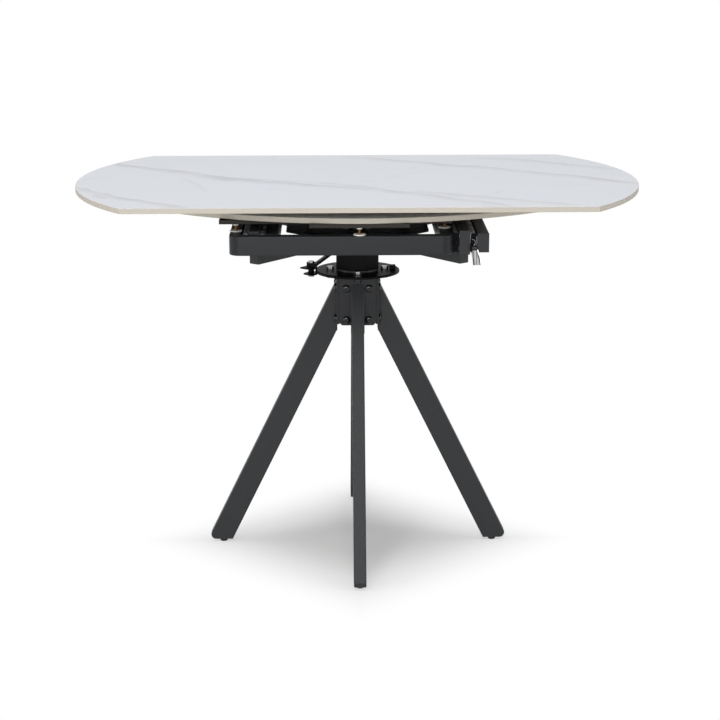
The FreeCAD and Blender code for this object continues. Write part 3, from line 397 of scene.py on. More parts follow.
@dataclass(frozen=True)
class TurnedSteel(Finish):
    """Lathe-turned steel: fine rings round the upright axis.

    The rings are drawn coarser than the real feed of 0.2 mm so that they show.
    """

    layers: tuple[Layer, ...] = (
        Layer(Pattern.BANDS, 1.6, {"Distortion": 0.4, "Detail": 1.0}, direction=Axis.Z),
    )


@dataclass(frozen=True)
class MouldedPlastic(Finish):
    """Moulded plastic or rubber with the spark-eroded grain of its mould.

    The grain is drawn coarser than the real 0.3 mm so that it shows.
    """

    relief: float = 0.04
    relief_strength: float = 0.4
    layers: tuple[Layer, ...] = (Layer(Pattern.NOISE, 1.2, {"Detail": 1.0}),)


@dataclass(frozen=True)
class Vein:
    """One soft vein of the slab, bowed to one side, crisp on one edge and feathered on the other.

    Places and widths are in millimetres in the slab's plan.
    """

    start: tuple[float, float]
    end: tuple[float, float]
    bow: float
    crisp: float
    feather: float
    strength: float


@dataclass(frozen=True)
class SinteredStone(Finish):
    """Pressed and fired slab: a satin marble print on top, the bare cream body elsewhere."""

    body: str = "#C3BCAF"
    body_second: str = "#B8B1A3"
    body_roughness: float = 0.62
    body_grain: Layer = Layer(Pattern.NOISE, 1.6, {"Detail": 3.0})
    skin: Layer = Layer(Pattern.NOISE, 2.5, {"Detail": 2.0})
    relief: float = 0.03
    relief_strength: float = 0.12
    print_level: float = 0.0
    plan_shift: float = 0.0
    cloud: Layer = Layer(Pattern.NOISE, 210.0, {"Detail": 4.0, "Roughness": 0.6})
    veins: tuple[Vein, ...] = ()
    vein_colour: str = "#B0B1B4"
    vein_fade: float = 0.5
    drift: float = 190.0
    drift_reach: float = 60.0
    wander: float = 46.0
    wander_reach: float = 18.0
    breaks: Layer = Layer(Pattern.NOISE, 90.0, {"Detail": 3.0})
    break_patch: tuple[float, float] = (0.3, 0.62)
    break_strength: float = 0.35
    crack: float = 260.0
    crack_width: float = 0.007
    crack_strength: float = 0.3
    crack_patch: tuple[float, float] = (0.5, 0.62)

    def texture(self, tree: Tree, place: Socket) -> dict[str, Socket]:
        """Adds the veined print where the surface is the top face, and the body elsewhere.

        Args:
            tree: Node tree of the material.
            place: Object coordinates.

        Returns:
            What the shader takes, by the names of its inputs.
        """
        shift = {"Vector": place, "Location": (0, self.plan_shift * MM, 0)}
        plan = add_node(tree, "Mapping", shift, vector_type="POINT")["Vector"]
        height = add_node(tree, "SeparateXYZ", {"Vector": place})["Z"]
        level = {0: height, 1: self.print_level * MM}
        printed = add_node(tree, "Math", level, operation="GREATER_THAN")["Value"]
        grain = self.body_grain.add(tree, place)
        mix = {MIX_FACTOR: grain, MIX_A: linear(self.body), MIX_B: linear(self.body_second)}
        body = add_node(tree, "Mix", mix, data_type="RGBA")[MIX_COLOUR]
        mix = {MIX_FACTOR: printed, MIX_A: body, MIX_B: self.veining(tree, plan)}
        ends = {"Value": printed, "To Min": self.body_roughness, "To Max": self.roughness}
        return {
            "Base Color": add_node(tree, "Mix", mix, data_type="RGBA")[MIX_COLOUR],
            "Roughness": add_node(tree, "MapRange", ends)["Result"],
            "Normal": self.emboss(tree, self.skin.add(tree, place)),
        }

    def veining(self, tree: Tree, plan: Socket) -> Socket:
        """Colour of the print: a clouded ground under broken veins and faint cracks.

        Args:
            tree: Node tree of the material.
            plan: Coordinates in the slab's plan.

        Returns:
            Colour output.
        """
        bent = self.bend(tree, plan)
        shade = 0.0
        for vein in self.veins:
            pair = {0: shade, 1: self.vein_shade(tree, bent, vein)}
            shade = add_node(tree, "Math", pair, operation="MAXIMUM")["Value"]
        low, high = self.break_patch
        limits = {"From Min": low, "From Max": high, "To Min": self.break_strength}
        limits["Value"] = self.breaks.add(tree, plan)
        pair = {0: shade, 1: add_node(tree, "MapRange", limits)["Result"]}
        broken = add_node(tree, "Math", pair, operation="MULTIPLY")["Value"]
        pair = {0: broken, 1: self.cracks(tree, bent)}
        total = add_node(tree, "Math", pair, operation="MAXIMUM")["Value"]
        cloud = self.cloud.add(tree, bent)
        mix = {MIX_FACTOR: cloud, MIX_A: linear(self.colour), MIX_B: linear(self.second)}
        ground = add_node(tree, "Mix", mix, data_type="RGBA")[MIX_COLOUR]
        mix = {MIX_FACTOR: total, MIX_A: ground, MIX_B: linear(self.vein_colour)}
        return add_node(tree, "Mix", mix, data_type="RGBA")[MIX_COLOUR]

    def bend(self, tree: Tree, plan: Socket) -> Socket:
        """Plan coordinates that drift and wander, so that no vein is straight.

        Args:
            tree: Node tree of the material.
            plan: Coordinates in the slab's plan.

        Returns:
            Vector output.
        """
        bent = plan
        for size, reach in ((self.drift, self.drift_reach), (self.wander, self.wander_reach)):
            noise = {"Vector": plan, "Scale": per_metre(size), "Detail": 2.0}
            level = {0: add_node(tree, "TexNoise", noise)["Color"], 1: (NOISE_MIDDLE,) * 3}
            offset = add_node(tree, "VectorMath", level, operation="SUBTRACT")["Vector"]
            pull = {0: offset, 1: (reach * MM,) * 3, 2: bent}
            bent = add_node(tree, "VectorMath", pull, operation="MULTIPLY_ADD")["Vector"]
        return bent

    def vein_shade(self, tree: Tree, bent: Socket, vein: Vein) -> Socket:
        """How strongly one vein shows.

        Args:
            tree: Node tree of the material.
            bent: Drifting plan coordinates.
            vein: The vein.

        Returns:
            Value output between 0 and the vein's strength.
        """
        start, end = Vector(vein.start), Vector(vein.end)
        run = end - start
        middle = (start + end) / 2 * MM
        frame = {
            "Vector": bent,
            "Location": (middle.x, middle.y, 0),
            "Rotation": (0, 0, math.atan2(run.y, run.x)),
            "Scale": (run.length / 2 * MM, MM, 1),
        }
        local = add_node(tree, "Mapping", frame, vector_type="TEXTURE")["Vector"]
        parts = add_node(tree, "SeparateXYZ", {"Vector": local})
        along = {0: parts["X"], 1: parts["X"]}
        square = add_node(tree, "Math", along, operation="MULTIPLY")["Value"]
        arch = {0: square, 1: vein.bow, 2: parts["Y"]}
        leaned = add_node(tree, "Math", arch, operation="MULTIPLY_ADD")["Value"]
        off = add_node(tree, "Math", {0: leaned, 1: vein.bow}, operation="SUBTRACT")["Value"]
        shade = vein.strength
        slopes = (
            (off, -vein.feather, 0, 0, 1),
            (off, 0, vein.crisp, 1, 0),
            (square, self.vein_fade, 1, 1, 0),
        )
        for value, low, high, first, last in slopes:
            limits = {"From Min": low, "From Max": high, "To Min": first, "To Max": last}
            limits["Value"] = value
            slope = add_node(tree, "MapRange", limits, interpolation_type="SMOOTHSTEP")
            pair = {0: shade, 1: slope["Result"]}
            shade = add_node(tree, "Math", pair, operation="MULTIPLY")["Value"]
        return shade

    def cracks(self, tree: Tree, bent: Socket) -> Socket:
        """How strongly the faint cracks between the veins show.

        Args:
            tree: Node tree of the material.
            bent: Drifting plan coordinates.

        Returns:
            Value output between 0 and the cracks' strength.
        """
        noise = {"Vector": bent, "Scale": per_metre(self.crack), "Detail": 2.5, "Roughness": 0.5}
        field = add_node(tree, "TexNoise", noise)
        level = {0: field["Fac"], 1: NOISE_MIDDLE}
        centred = add_node(tree, "Math", level, operation="SUBTRACT")["Value"]
        ridge = add_node(tree, "Math", {0: centred}, operation="ABSOLUTE")["Value"]
        narrow = {"Value": ridge, "From Max": self.crack_width, "To Min": 1.0, "To Max": 0.0}
        low, high = self.crack_patch
        limits = {"From Min": low, "From Max": high, "To Max": self.crack_strength}
        limits["Value"] = add_node(tree, "SeparateColor", {"Color": field["Color"]})["Blue"]
        line, patch = (add_node(tree, "MapRange", ends)["Result"] for ends in (narrow, limits))
        return add_node(tree, "Math", {0: line, 1: patch}, operation="MULTIPLY")["Value"]


VEINS = (
    Vein((-520, 258), (75, -145), -40, 6, 44, 0.85),
    Vein((-505, 250), (-385, 130), -12, 6, 30, 0.75),
    Vein((-300, 70), (-180, -5), -8, 5, 24, 0.65),
    Vein((-345, 40), (-270, -160), 8, 4, 18, 0.24),
    Vein((-560, -70), (-290, -345), -8, 6, 30, 0.8),
    Vein((-530, -80), (-455, -225), -8, 5, 20, 0.6),
    Vein((-30, 335), (575, -95), 24, 6, 44, 0.75),
    Vein((240, 315), (540, 100), 22, 6, 42, 0.5),
    Vein((-80, -30), (285, -345), 16, 6, 44, 0.65),
    Vein((90, -130), (405, -325), -6, 5, 36, 0.45),
    Vein((-500, 246), (-40, -66), -34, 3, 7, 0.9),
    Vein((-10, 318), (560, -80), 22, 3, 7, 0.7),
    Vein((-60, -46), (230, -300), 14, 3, 7, 0.7),
    Vein((-548, -84), (-330, -310), -7, 3, 7, 0.8),
)
# Sintered stone, pressed, printed and fired: pale and satin, with soft grey veins.
TOP_STONE = SinteredStone(
    "sintered_stone_top", "stone", "#D4D7DC", "#CFD2D7", 0.36, veins=VEINS, print_level=749.6
)
LEAF_STONE = replace(TOP_STONE, name="sintered_stone_leaf", print_level=722.6, plan_shift=120)
# Steel sprayed with powder and baked: a satin dark grey with soft, broken highlights.
ANTHRACITE = PowderCoat(
    "anthracite_powder_coat", "anthracite_steel", "#28292A", "#2D2E30", 0.44, specular=0.25
)
# The same powder in a bluer batch on the sliding frames, made darker as painted shade from the slab
# above.
SHADED_FRAME_COAT = PowderCoat(
    "frame_coat_painted_shade", "anthracite_steel", "#181A1D", "#1C1E22", 0.4, specular=0.25
)
# The same powder on the column and brackets, slightly darker and duller: the darker colour is
# painted shade from the table above.
SHADED_BRACKET_COAT = PowderCoat(
    "bracket_coat_painted_shade", "anthracite_steel", "#222325", "#27282A", 0.46, specular=0.22
)
# Enamel stoved on cut plate: deep black with weak highlights.
BLACK_COAT = PowderCoat(
    "black_stove_enamel", "bracket_steel", "#080808", "#0B0B0B", 0.4, specular=0.06
)
# Near-black, dull coat on the inner steel: painted shade for the deep shade under the slab and the
# tray.
SHADE_BLACK_COAT = PowderCoat(
    "painted_shade_black", "anthracite_steel", "#0B0B0A", "#0F0F0E", 0.55, specular=0.06
)
# Paint that bent sheet was dipped in: dark, slightly brown and dull.
TRAY_COAT = PowderCoat("tray_dip_coat", "tray_steel", "#262320", "#2B2825", 0.5, specular=0.2)
# Strip dipped in zinc and rolled to channels: grey crystals with a soft shine.
GALVANISED = GalvanisedSheet(
    "galvanised_sheet", "galvanised_steel", "#A9ADB0", "#8E9296", 0.34, 0.6
)
# Steel left bright from the lathe: its rings draw the highlights out.
BRIGHT_STEEL = TurnedSteel("turned_steel", "bright_steel", "#8F9194", "#77797C", 0.32, 1.0)
# Zinc plate with a clear passivation: a clean grey shine.
CLEAR_ZINC = PlatedMetal("clear_zinc_plate", "zinc_bolts", "#A3A3A2", "#929496", 0.24, 1.0)
# Zinc plate with a yellow passivation: brassy, with tints that drift over shorter ways.
YELLOW_ZINC = PlatedMetal(
    "yellow_zinc_plate",
    "yellow_zinc",
    "#A8905A",
    "#96805A",
    0.3,
    1.0,
    layers=(replace(PlatedMetal.layers[0], size=5.0),),
)
# Chromed strip: mirror-bright between dark stripes of painted reflection.
REFLECTION_STRIPED_CHROME = ReflectionStripedChrome("drawn_chrome_plate", "chrome", "#D2D2D0", "#838587", 0.09, 1.0)
# Steel blackened in a hot bath and oiled: black with small sharp highlights.
BLACK_OXIDE = PlatedMetal(
    "black_oxide_steel", "black_bolts", "#060606", "#0A0A0A", 0.15, specular=0.4
)
# Nylon in its natural white, moulded: a soft, waxy sheen.
NYLON = MouldedPlastic("moulded_nylon", "white_nylon", "#E6E5DF", "#DCDBD4", 0.4)
# Acetal bar, turned: dark grey and slightly greasy.
ACETAL = MouldedPlastic("turned_acetal", "bush_plastic", "#3A3B3D", "#353638", 0.4)
# Black plastic from a grained mould: even and nearly matt.
BLACK_PLASTIC = MouldedPlastic(
    "moulded_black_plastic", "black_plastic", "#27282B", "#2C2D30", 0.5, specular=0.25
)
# Rubber, pressed in a mould: black and matt.
RUBBER = MouldedPlastic("black_rubber", "black_plastic", "#070707", "#0A0A0A", 0.6, specular=0.08)


@dataclass(frozen=True)
class Ring:
    """Round or hexagonal outline of a turned piece at one height."""

    radius: float
    height: float
    hexagonal: bool = False

    def reach(self, angle: float) -> float:
        """Distance of the outline from its axis.

        Args:
            angle: Direction about the axis in radians.

        Returns:
            The distance in millimetres.
        """
        if not self.hexagonal:
            return self.radius
        flat = FULL_TURN / HEX_SIDES
        return self.radius * math.cos(flat / 2) / math.cos(angle % flat - flat / 2)


def stack(rings: Iterable[Ring], closed: bool = False) -> Mesh:
    """Extrudes one outline into the next, which makes a turned piece about the upright axis.

    Args:
        rings: Outlines in order along the surface.
        closed: Whether the last outline joins the first; otherwise both are filled.

    Returns:
        The piece in millimetres.
    """
    outlines = list(rings)
    if closed:
        outlines.append(outlines[0])
    mesh = bmesh.new()
    points = bmesh.ops.create_circle(mesh, segments=RING_SIDES, radius=1)["verts"]
    lines = mesh.edges[:]
    for step, ring in enumerate(outlines):
        if step:
            made = bmesh.ops.extrude_edge_only(mesh, edges=lines)["geom"]
            points = [part for part in made if isinstance(part, bmesh.types.BMVert)]
            lines = [e for e in made if isinstance(e, bmesh.types.BMEdge) and e.is_boundary]
        for point in points:
            angle = math.atan2(point.co.y, point.co.x)
            reach = ring.reach(angle)
            point.co = (reach * math.cos(angle), reach * math.sin(angle), ring.height)
    bmesh.ops.remove_doubles(mesh, verts=mesh.verts, dist=WELD_DISTANCE)
    close_up(mesh)
    return mesh


def washer(radius: float, bore: float, bottom: float, top: float, edge: float) -> Mesh:
    """Upright ring with a bore and broken outer edges.

    Args:
        radius: Outer radius.
        bore: Radius of the bore.
        bottom: Level of the lower face.
        top: Level of the upper face.
        edge: Width of the broken edges.

    Returns:
        The ring in millimetres.
    """
    rings = (
        Ring(bore, bottom),
        Ring(radius - edge, bottom),
        Ring(radius, bottom + edge),
        Ring(radius, top - edge),
        Ring(radius - edge, top),
        Ring(bore, top),
    )
    return stack(rings, closed=True)


def close_up(mesh: Mesh) -> None:
    """Fills the open ends of a shape and turns its faces outwards.

    Args:
        mesh: The shape.
    """
    open_edges = [edge for edge in mesh.edges if edge.is_boundary]
    bmesh.ops.holes_fill(mesh, edges=open_edges, sides=0)
    bmesh.ops.recalc_face_normals(mesh, faces=mesh.faces)
    if mesh.calc_volume(signed=True) < 0:
        bmesh.ops.reverse_faces(mesh, faces=mesh.faces)


def cut(mesh: Mesh, point: Point, normal: Point) -> None:
    """Cuts a shape at a plane and closes the half that stays.

    Args:
        mesh: The shape.
        point: A point of the plane.
        normal: Direction of the half that stays.
    """
    bmesh.ops.bisect_plane(
        mesh,
        geom=mesh.verts[:] + mesh.edges[:] + mesh.faces[:],
        plane_co=point,
        plane_no=normal,
        clear_inner=True,
        dist=WELD_DISTANCE,
    )
    close_up(mesh)


def sharp_edges(mesh: Mesh) -> Edges:
    """Edges of a shape at which two faces meet at an angle."""
    return [e for e in mesh.edges if len(e.link_faces) == 2 and e.calc_face_angle() > EDGE_ANGLE]


def tube_edges(mesh: Mesh) -> Edges:
    """Outer edges of a level tube, without the rims of its cut ends.

    Args:
        mesh: The tube; only its outer faces have all their points at its top or bottom level.

    Returns:
        The edges.
    """
    heights = [vert.co.z for vert in mesh.verts]
    levels = (min(heights), max(heights))
    outer = set()
    for face in mesh.faces:
        gaps = [min(abs(vert.co.z - level) for level in levels) for vert in face.verts]
        if max(gaps) < WELD_DISTANCE:
            outer.add(face)
    return [edge for edge in sharp_edges(mesh) if outer.issuperset(edge.link_faces)]


def soften(mesh: Mesh, radius: float, edges: Edges | None = None) -> None:
    """Rounds edges of a shape.

    Args:
        mesh: The shape.
        radius: Rounding of the edges.
        edges: The edges, if not all the sharp ones.
    """
    bmesh.ops.bevel(
        mesh,
        geom=sharp_edges(mesh) if edges is None else edges,
        offset=radius,
        offset_type="OFFSET",
        affect="EDGES",
        segments=ROUNDING_STEPS,
        profile=0.5,
        material=-1,
        clamp_overlap=True,
    )


def gather(parts: Iterable[tuple[Mesh, Matrix]]) -> Mesh:
    """Collects placed shapes in one mesh.

    Args:
        parts: Shapes, which are freed, each with its place.

    Returns:
        All of them together.
    """
    whole = bmesh.new()
    for part, place in parts:
        part.transform(place)
        data = bpy.data.meshes.new("part")
        part.to_mesh(data)
        part.free()
        whole.from_mesh(data)
        bpy.data.meshes.remove(data)
    return whole


@dataclass(frozen=True)
class WeldPairs:
    """Upright rippled weld beads at both sides of each arm or leg, where it meets its carrier."""

    turns: tuple[float, ...]
    half_width: float
    distance: float
    bottom: float
    length: float
    radius: float
    ripple: float = 2.5
    dip: float = 0.18

    def shape(self) -> Mesh:
        """All the beads.

        Returns:
            The beads in millimetres.
        """
        count = round(self.length / self.ripple)
        radii = (self.radius, self.radius * (1 - self.dip))
        rings = [Ring(radii[step % 2], step * self.length / count) for step in range(count + 1)]
        parts = []
        for turn in self.turns:
            for side in (-1, 1):
                foot = Matrix.Translation((side * self.half_width, -self.distance, self.bottom))
                parts.append((stack(rings), turned(turn) @ foot))
        return gather(parts)


@dataclass(frozen=True)
class SlideStop:
    """Half-round rubber stop at the end of a slide, with its cover plate and a ring of wire.

    Its round side faces +X, before a turn about its own axis in degrees.
    """

    place: Point
    radius: float
    depth: float
    edge: float
    cover_place: Point
    cover_size: Point
    facing: float = 0
    cover_edge: float = 0.4
    ring_inset: float = 0.9
    ring_wire: float = 1.3

    def shape(self, turn: Matrix) -> Mesh:
        """Stop and cover.

        Args:
            turn: Turn of the slide about the upright axis.

        Returns:
            Both in millimetres.
        """
        block = bmesh.new()
        bmesh.ops.create_cone(
            block,
            cap_ends=True,
            segments=2 * RING_SIDES,
            radius1=self.radius,
            radius2=self.radius,
            depth=self.depth,
            matrix=QUARTER_ABOUT_X,
        )
        cut(block, (0, 0, 0), (1, 0, 0))
        soften(block, self.edge)
        cover = bmesh.new()
        bmesh.ops.create_cube(cover, size=1, matrix=Matrix.Diagonal((*self.cover_size, 1)))
        soften(cover, self.cover_edge)
        facing = Matrix.Rotation(math.radians(self.facing), 4, "Y")
        seat = turn @ Matrix.Translation(self.place) @ facing
        return gather([(block, seat), (cover, turn @ Matrix.Translation(self.cover_place))])

    def ring(self, turn: Matrix) -> Mesh:
        """Half ring of wire on the front of the stop.

        Args:
            turn: Turn of the slide about the upright axis.

        Returns:
            The ring in millimetres.
        """
        mesh = bmesh.new()
        start = Matrix.Translation((0, 0, self.ring_inset - self.radius)) @ QUARTER_ABOUT_Y
        wire = {"segments": RING_SIDES // 2, "radius": self.ring_wire / 2, "matrix": start}
        bmesh.ops.create_circle(mesh, **wire)
        bmesh.ops.spin(
            mesh,
            geom=mesh.verts[:] + mesh.edges[:],
            cent=(0, 0, 0),
            axis=(0, -1, 0),
            angle=math.pi,
            steps=RING_SIDES,
        )
        close_up(mesh)
        front = Matrix.Translation((0, -self.depth / 2, 0))
        mesh.transform(turn @ Matrix.Translation(self.place) @ front)
        return mesh


@dataclass
class SubAssembly:
    """Pieces of the table that are dressed together, and the body that they ride on."""

    nodes: dict[str, Piece]
    body: Body

    def add(
        self, name: str, mesh: Mesh, finish: Finish, *solids: str, body: Body | None = None
    ) -> None:
        """Turns a shape into a piece of the table.

        Args:
            name: Name of the piece.
            mesh: Its shape in millimetres; it is freed.
            finish: Its material.
            *solids: Solids that it stands for.
            body: Body that it rides on, if not the sub-assembly's own.
        """
        bmesh.ops.scale(mesh, vec=(MM, MM, MM), verts=mesh.verts)
        for face in mesh.faces:
            face.smooth = True
        data = bpy.data.meshes.new(name)
        mesh.to_mesh(data)
        mesh.free()
        data.set_sharp_from_angle(angle=SHADE_ANGLE)
        data.materials.append(finish.material())
        piece = add_object(name, data)
        piece.modifiers.new("even_shading", "WEIGHTED_NORMAL").keep_sharp = True
        carrier = (body or self.body).value
        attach(piece, carrier)
        if solids:
            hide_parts(*solids)
        log.info("%s: %d faces on %s", name, len(data.polygons), carrier)

    def dress(self, finish: Finish, *names: str) -> None:
        """Gives solids that keep their shape a material.

        Args:
            finish: Their material.
            *names: Names of the solids.
        """
        for name in names:
            piece = self.nodes[name]
            piece.data.materials.clear()
            piece.data.materials.append(finish.material())
            log.info("%s keeps its solid on %s", name, self.body.value)

    def round_off(self, finish: Finish, radius: float, *names: str, tubes: bool = False) -> None:
        """Replaces solids by copies whose edges are rounded.

        Args:
            finish: Their material.
            radius: Rounding of the edges.
            *names: Names of the solids.
            tubes: Whether they are level tubes, whose cut ends stay sharp.
        """
        for name in names:
            mesh = self.copy(name)
            soften(mesh, radius, tube_edges(mesh) if tubes else None)
            self.add(f"{name}_rounded", mesh, finish, name)

    def copy(self, name: str) -> Mesh:
        """Merged copy of a solid with whole faces.

        Args:
            name: Name of the solid.

        Returns:
            The copy in millimetres.
        """
        mesh = bmesh.new()
        mesh.from_mesh(self.nodes[name].data)
        bmesh.ops.scale(mesh, vec=(1 / MM, 1 / MM, 1 / MM), verts=mesh.verts)
        bmesh.ops.remove_doubles(mesh, verts=mesh.verts, dist=WELD_DISTANCE)
        bmesh.ops.dissolve_limit(
            mesh,
            angle_limit=FLAT_ANGLE,
            verts=mesh.verts,
            edges=mesh.edges,
            use_dissolve_boundaries=False,
        )
        return mesh


@dataclass
class Leaf(SubAssembly):
    """One sliding leaf with its tray, levelling posts, tube frame and slide runners.

    A collar is given by its radius, its lower level and its height.
    """

    end: End
    cages: Body
    post_places: tuple[tuple[float, float], ...] = (
        (0, -291),
        (-228, -246),
        (160, -216),
        (-228, -112),
        (160, -112),
    )
    stud_foot: float = 691
    stud_radius: float = 3
    stud_pitch: float = 1
    stud_turns: int = 13
    thread_depth: float = 0.55
    collars: tuple[Point, ...] = ((11.8, 691, 2.2), (5.5, 702.6, 2.4))
    collar_bore: float = 3.1
    collar_edge: float = 0.7
    frame_edge: float = 2.0
    stop: SlideStop = SlideStop(
        place=(183.6, -273.6, 673),
        radius=8,
        depth=4.4,
        edge=0.9,
        cover_place=(177.7, -270.9, 673),
        cover_size=(11.8, 1.2, 35.6),
        facing=180,
    )

    def build(self) -> None:
        """Dresses the leaf's pieces."""
        end = self.end.label
        self.dress(LEAF_STONE, f"leaf_{end}")
        self.round_off(TRAY_COAT, SHEET_EDGE, f"leaf_tray_{end}")
        # The frame's coat is darker as painted shade from the slab above.
        self.round_off(SHADED_FRAME_COAT, self.frame_edge, f"leaf_frame_{end}", tubes=True)
        self.round_off(BLACK_PLASTIC, PLATE_EDGE, f"frame_caps_{end}")
        self.dress(GALVANISED, f"slide_runners_{end}")
        self.build_posts()
        self.add(f"runner_stop_{end}", self.stop.shape(self.end.matrix), RUBBER)
        cages = f"ball_cages_{end}"
        self.add(f"{cages}_pressed", self.copy(cages), BRIGHT_STEEL, cages, body=self.cages)

    def build_posts(self) -> None:
        """Threaded levelling studs, each with a moulded collar at its foot and a cap on top."""
        studs, collars = [], []
        for across, along in self.post_places:
            place = self.end.matrix @ Matrix.Translation((across, along, 0))
            studs.append((self.stud(), place @ Matrix.Translation((0, 0, self.stud_foot))))
            for radius, bottom, height in self.collars:
                levels = (bottom, bottom + height)
                collar = washer(radius, self.collar_bore, *levels, self.collar_edge)
                collars.append((collar, place))
        end = self.end.label
        self.add(f"studs_{end}_threaded", gather(studs), YELLOW_ZINC, f"studs_{end}")
        label = f"stud_collars_{end}"
        self.add(f"{label}_moulded", gather(collars), NYLON, label)

    def stud(self) -> Mesh:
        """Upright screw thread that starts at the origin.

        Returns:
            The threaded bar in millimetres.
        """
        mesh = bmesh.new()
        radius, pitch = self.stud_radius, self.stud_pitch
        root = radius - pitch * self.thread_depth
        outline = ((root, 0), (radius, pitch / 2), (root, pitch))
        points = [mesh.verts.new((across, 0, up)) for across, up in outline]
        lines = [mesh.edges.new(pair) for pair in zip(points, points[1:])]
        bmesh.ops.spin(
            mesh,
            geom=points + lines,
            cent=(0, 0, 0),
            axis=(0, 0, 1),
            dvec=(0, 0, pitch / RING_SIDES),
            angle=FULL_TURN * self.stud_turns,
            steps=RING_SIDES * self.stud_turns,
        )
        bmesh.ops.remove_doubles(mesh, verts=mesh.verts, dist=WELD_DISTANCE)
        close_up(mesh)
        return mesh


@dataclass
class Turntable(SubAssembly):
    """What turns on the base: slab, hub, spider, rails with slides, deck, beams and strut."""

    rail_inner: float = 184
    rail_outer: float = 204
    slide_level: float = 673
    slide_height: float = 35
    slide_depth: float = 10.5
    slide_bend: float = 3.4
    slide_lip: float = 4
    slide_sheet: float = 1.2
    slide_half: float = 270
    hub_edge: float = 1.0
    small_edge: float = 0.4
    welds: WeldPairs = WeldPairs(
        turns=(38.9, -38.9, 218.9, 141.1),
        half_width=11,
        distance=43,
        bottom=628.5,
        length=22,
        radius=2,
    )
    stop: SlideStop = SlideStop(
        place=(206.8, -273.6, 673),
        radius=7.5,
        depth=4,
        edge=0.8,
        cover_place=(211.4, -270.9, 673),
        cover_size=(9.4, 1.2, 34.6),
    )

    def build(self) -> None:
        """Dresses the turntable's pieces."""
        self.dress(TOP_STONE, "main_top")
        self.round_off(BLACK_COAT, self.hub_edge, "hub")
        self.dress(ACETAL, "hub_bushes")
        arms = [f"spider_arm_{end.label}_{side.label}" for end in End for side in Side]
        self.round_off(ANTHRACITE, TUBE_EDGE, *arms, tubes=True)
        for side in Side:
            self.round_off(ANTHRACITE, TUBE_EDGE, f"side_rail_{side.label}", tubes=True)
            self.round_off(SHADE_BLACK_COAT, PLATE_EDGE, f"bridge_plate_{side.label}")
            self.round_off(BLACK_COAT, self.small_edge, f"lock_bracket_{side.label}")
            self.build_slides(side)
        self.round_off(BLACK_PLASTIC, PLATE_EDGE, "tube_caps")
        # Deck, posts, beams and bridge plates are near black as painted shade under the slab and
        # the tray.
        self.round_off(SHADE_BLACK_COAT, PLATE_EDGE, "deck", "rail_posts")
        self.round_off(SHADE_BLACK_COAT, TUBE_EDGE, "top_beam_front", "top_beam_rear", tubes=True)
        self.round_off(BLACK_COAT, SHEET_EDGE, "brake_strut")
        self.round_off(CLEAR_ZINC, self.small_edge, "brake_bolt")
        self.add("hub_welds", self.welds.shape(), ANTHRACITE)

    def build_slides(self, side: Side) -> None:
        """Rolled channels on both faces of a rail, and the ringed stop beside its lock lever.

        Args:
            side: The rail.
        """
        outer = Matrix.Translation((self.rail_outer, 0, self.slide_level))
        inner = Matrix.Translation((self.rail_inner, 0, self.slide_level))
        seats = (outer, inner @ Matrix.Diagonal((-1, 1, 1, 1)))
        mesh = gather((self.channel(), side.matrix @ seat) for seat in seats)
        bmesh.ops.recalc_face_normals(mesh, faces=mesh.faces)
        label = f"slide_channels_{side.label}"
        self.add(f"{label}_rolled", mesh, GALVANISED, label)
        self.add(f"rail_stop_{side.label}", self.stop.shape(side.matrix), RUBBER)
        self.add(f"rail_stop_ring_{side.label}", self.stop.ring(side.matrix), CLEAR_ZINC)

    def channel(self) -> Mesh:
        """Rolled channel along Y, with its web on the YZ plane and its lips towards each other.

        Returns:
            The channel in millimetres.
        """
        half, depth, bend = self.slide_height / 2, self.slide_depth, self.slide_bend
        corners = ((bend, half - bend, 180), (depth - bend, half - bend, 90))
        upper = []
        for across, up, start in corners:
            for step in range(BEND_STEPS + 1):
                angle = math.radians(start - 90 * step / BEND_STEPS)
                upper.append((across + bend * math.cos(angle), up + bend * math.sin(angle)))
        upper.append((depth, half - self.slide_lip))
        outline = [(across, -up) for across, up in reversed(upper)] + upper
        mesh = bmesh.new()
        points = [mesh.verts.new((across, -self.slide_half, up)) for across, up in outline]
        lines = [mesh.edges.new(pair) for pair in zip(points, points[1:])]
        wall = bmesh.ops.extrude_edge_only(mesh, edges=lines)["geom"]
        moved = [part for part in wall if isinstance(part, bmesh.types.BMVert)]
        bmesh.ops.translate(mesh, verts=moved, vec=(0, 2 * self.slide_half, 0))
        bmesh.ops.recalc_face_normals(mesh, faces=mesh.faces)
        mesh.normal_update()
        web = min(mesh.faces, key=lambda face: face.calc_center_median().x)
        if web.normal.x > 0:
            bmesh.ops.reverse_faces(mesh, faces=mesh.faces)
        mesh.normal_update()
        bmesh.ops.solidify(mesh, geom=mesh.faces[:], thickness=self.slide_sheet)
        return mesh


@dataclass
class Brake(SubAssembly):
    """Forked lever at the rim of the swivel plate."""

    edge: float = 0.7

    def build(self) -> None:
        """Dresses the lever."""
        self.round_off(BLACK_COAT, self.edge, "brake_lever")


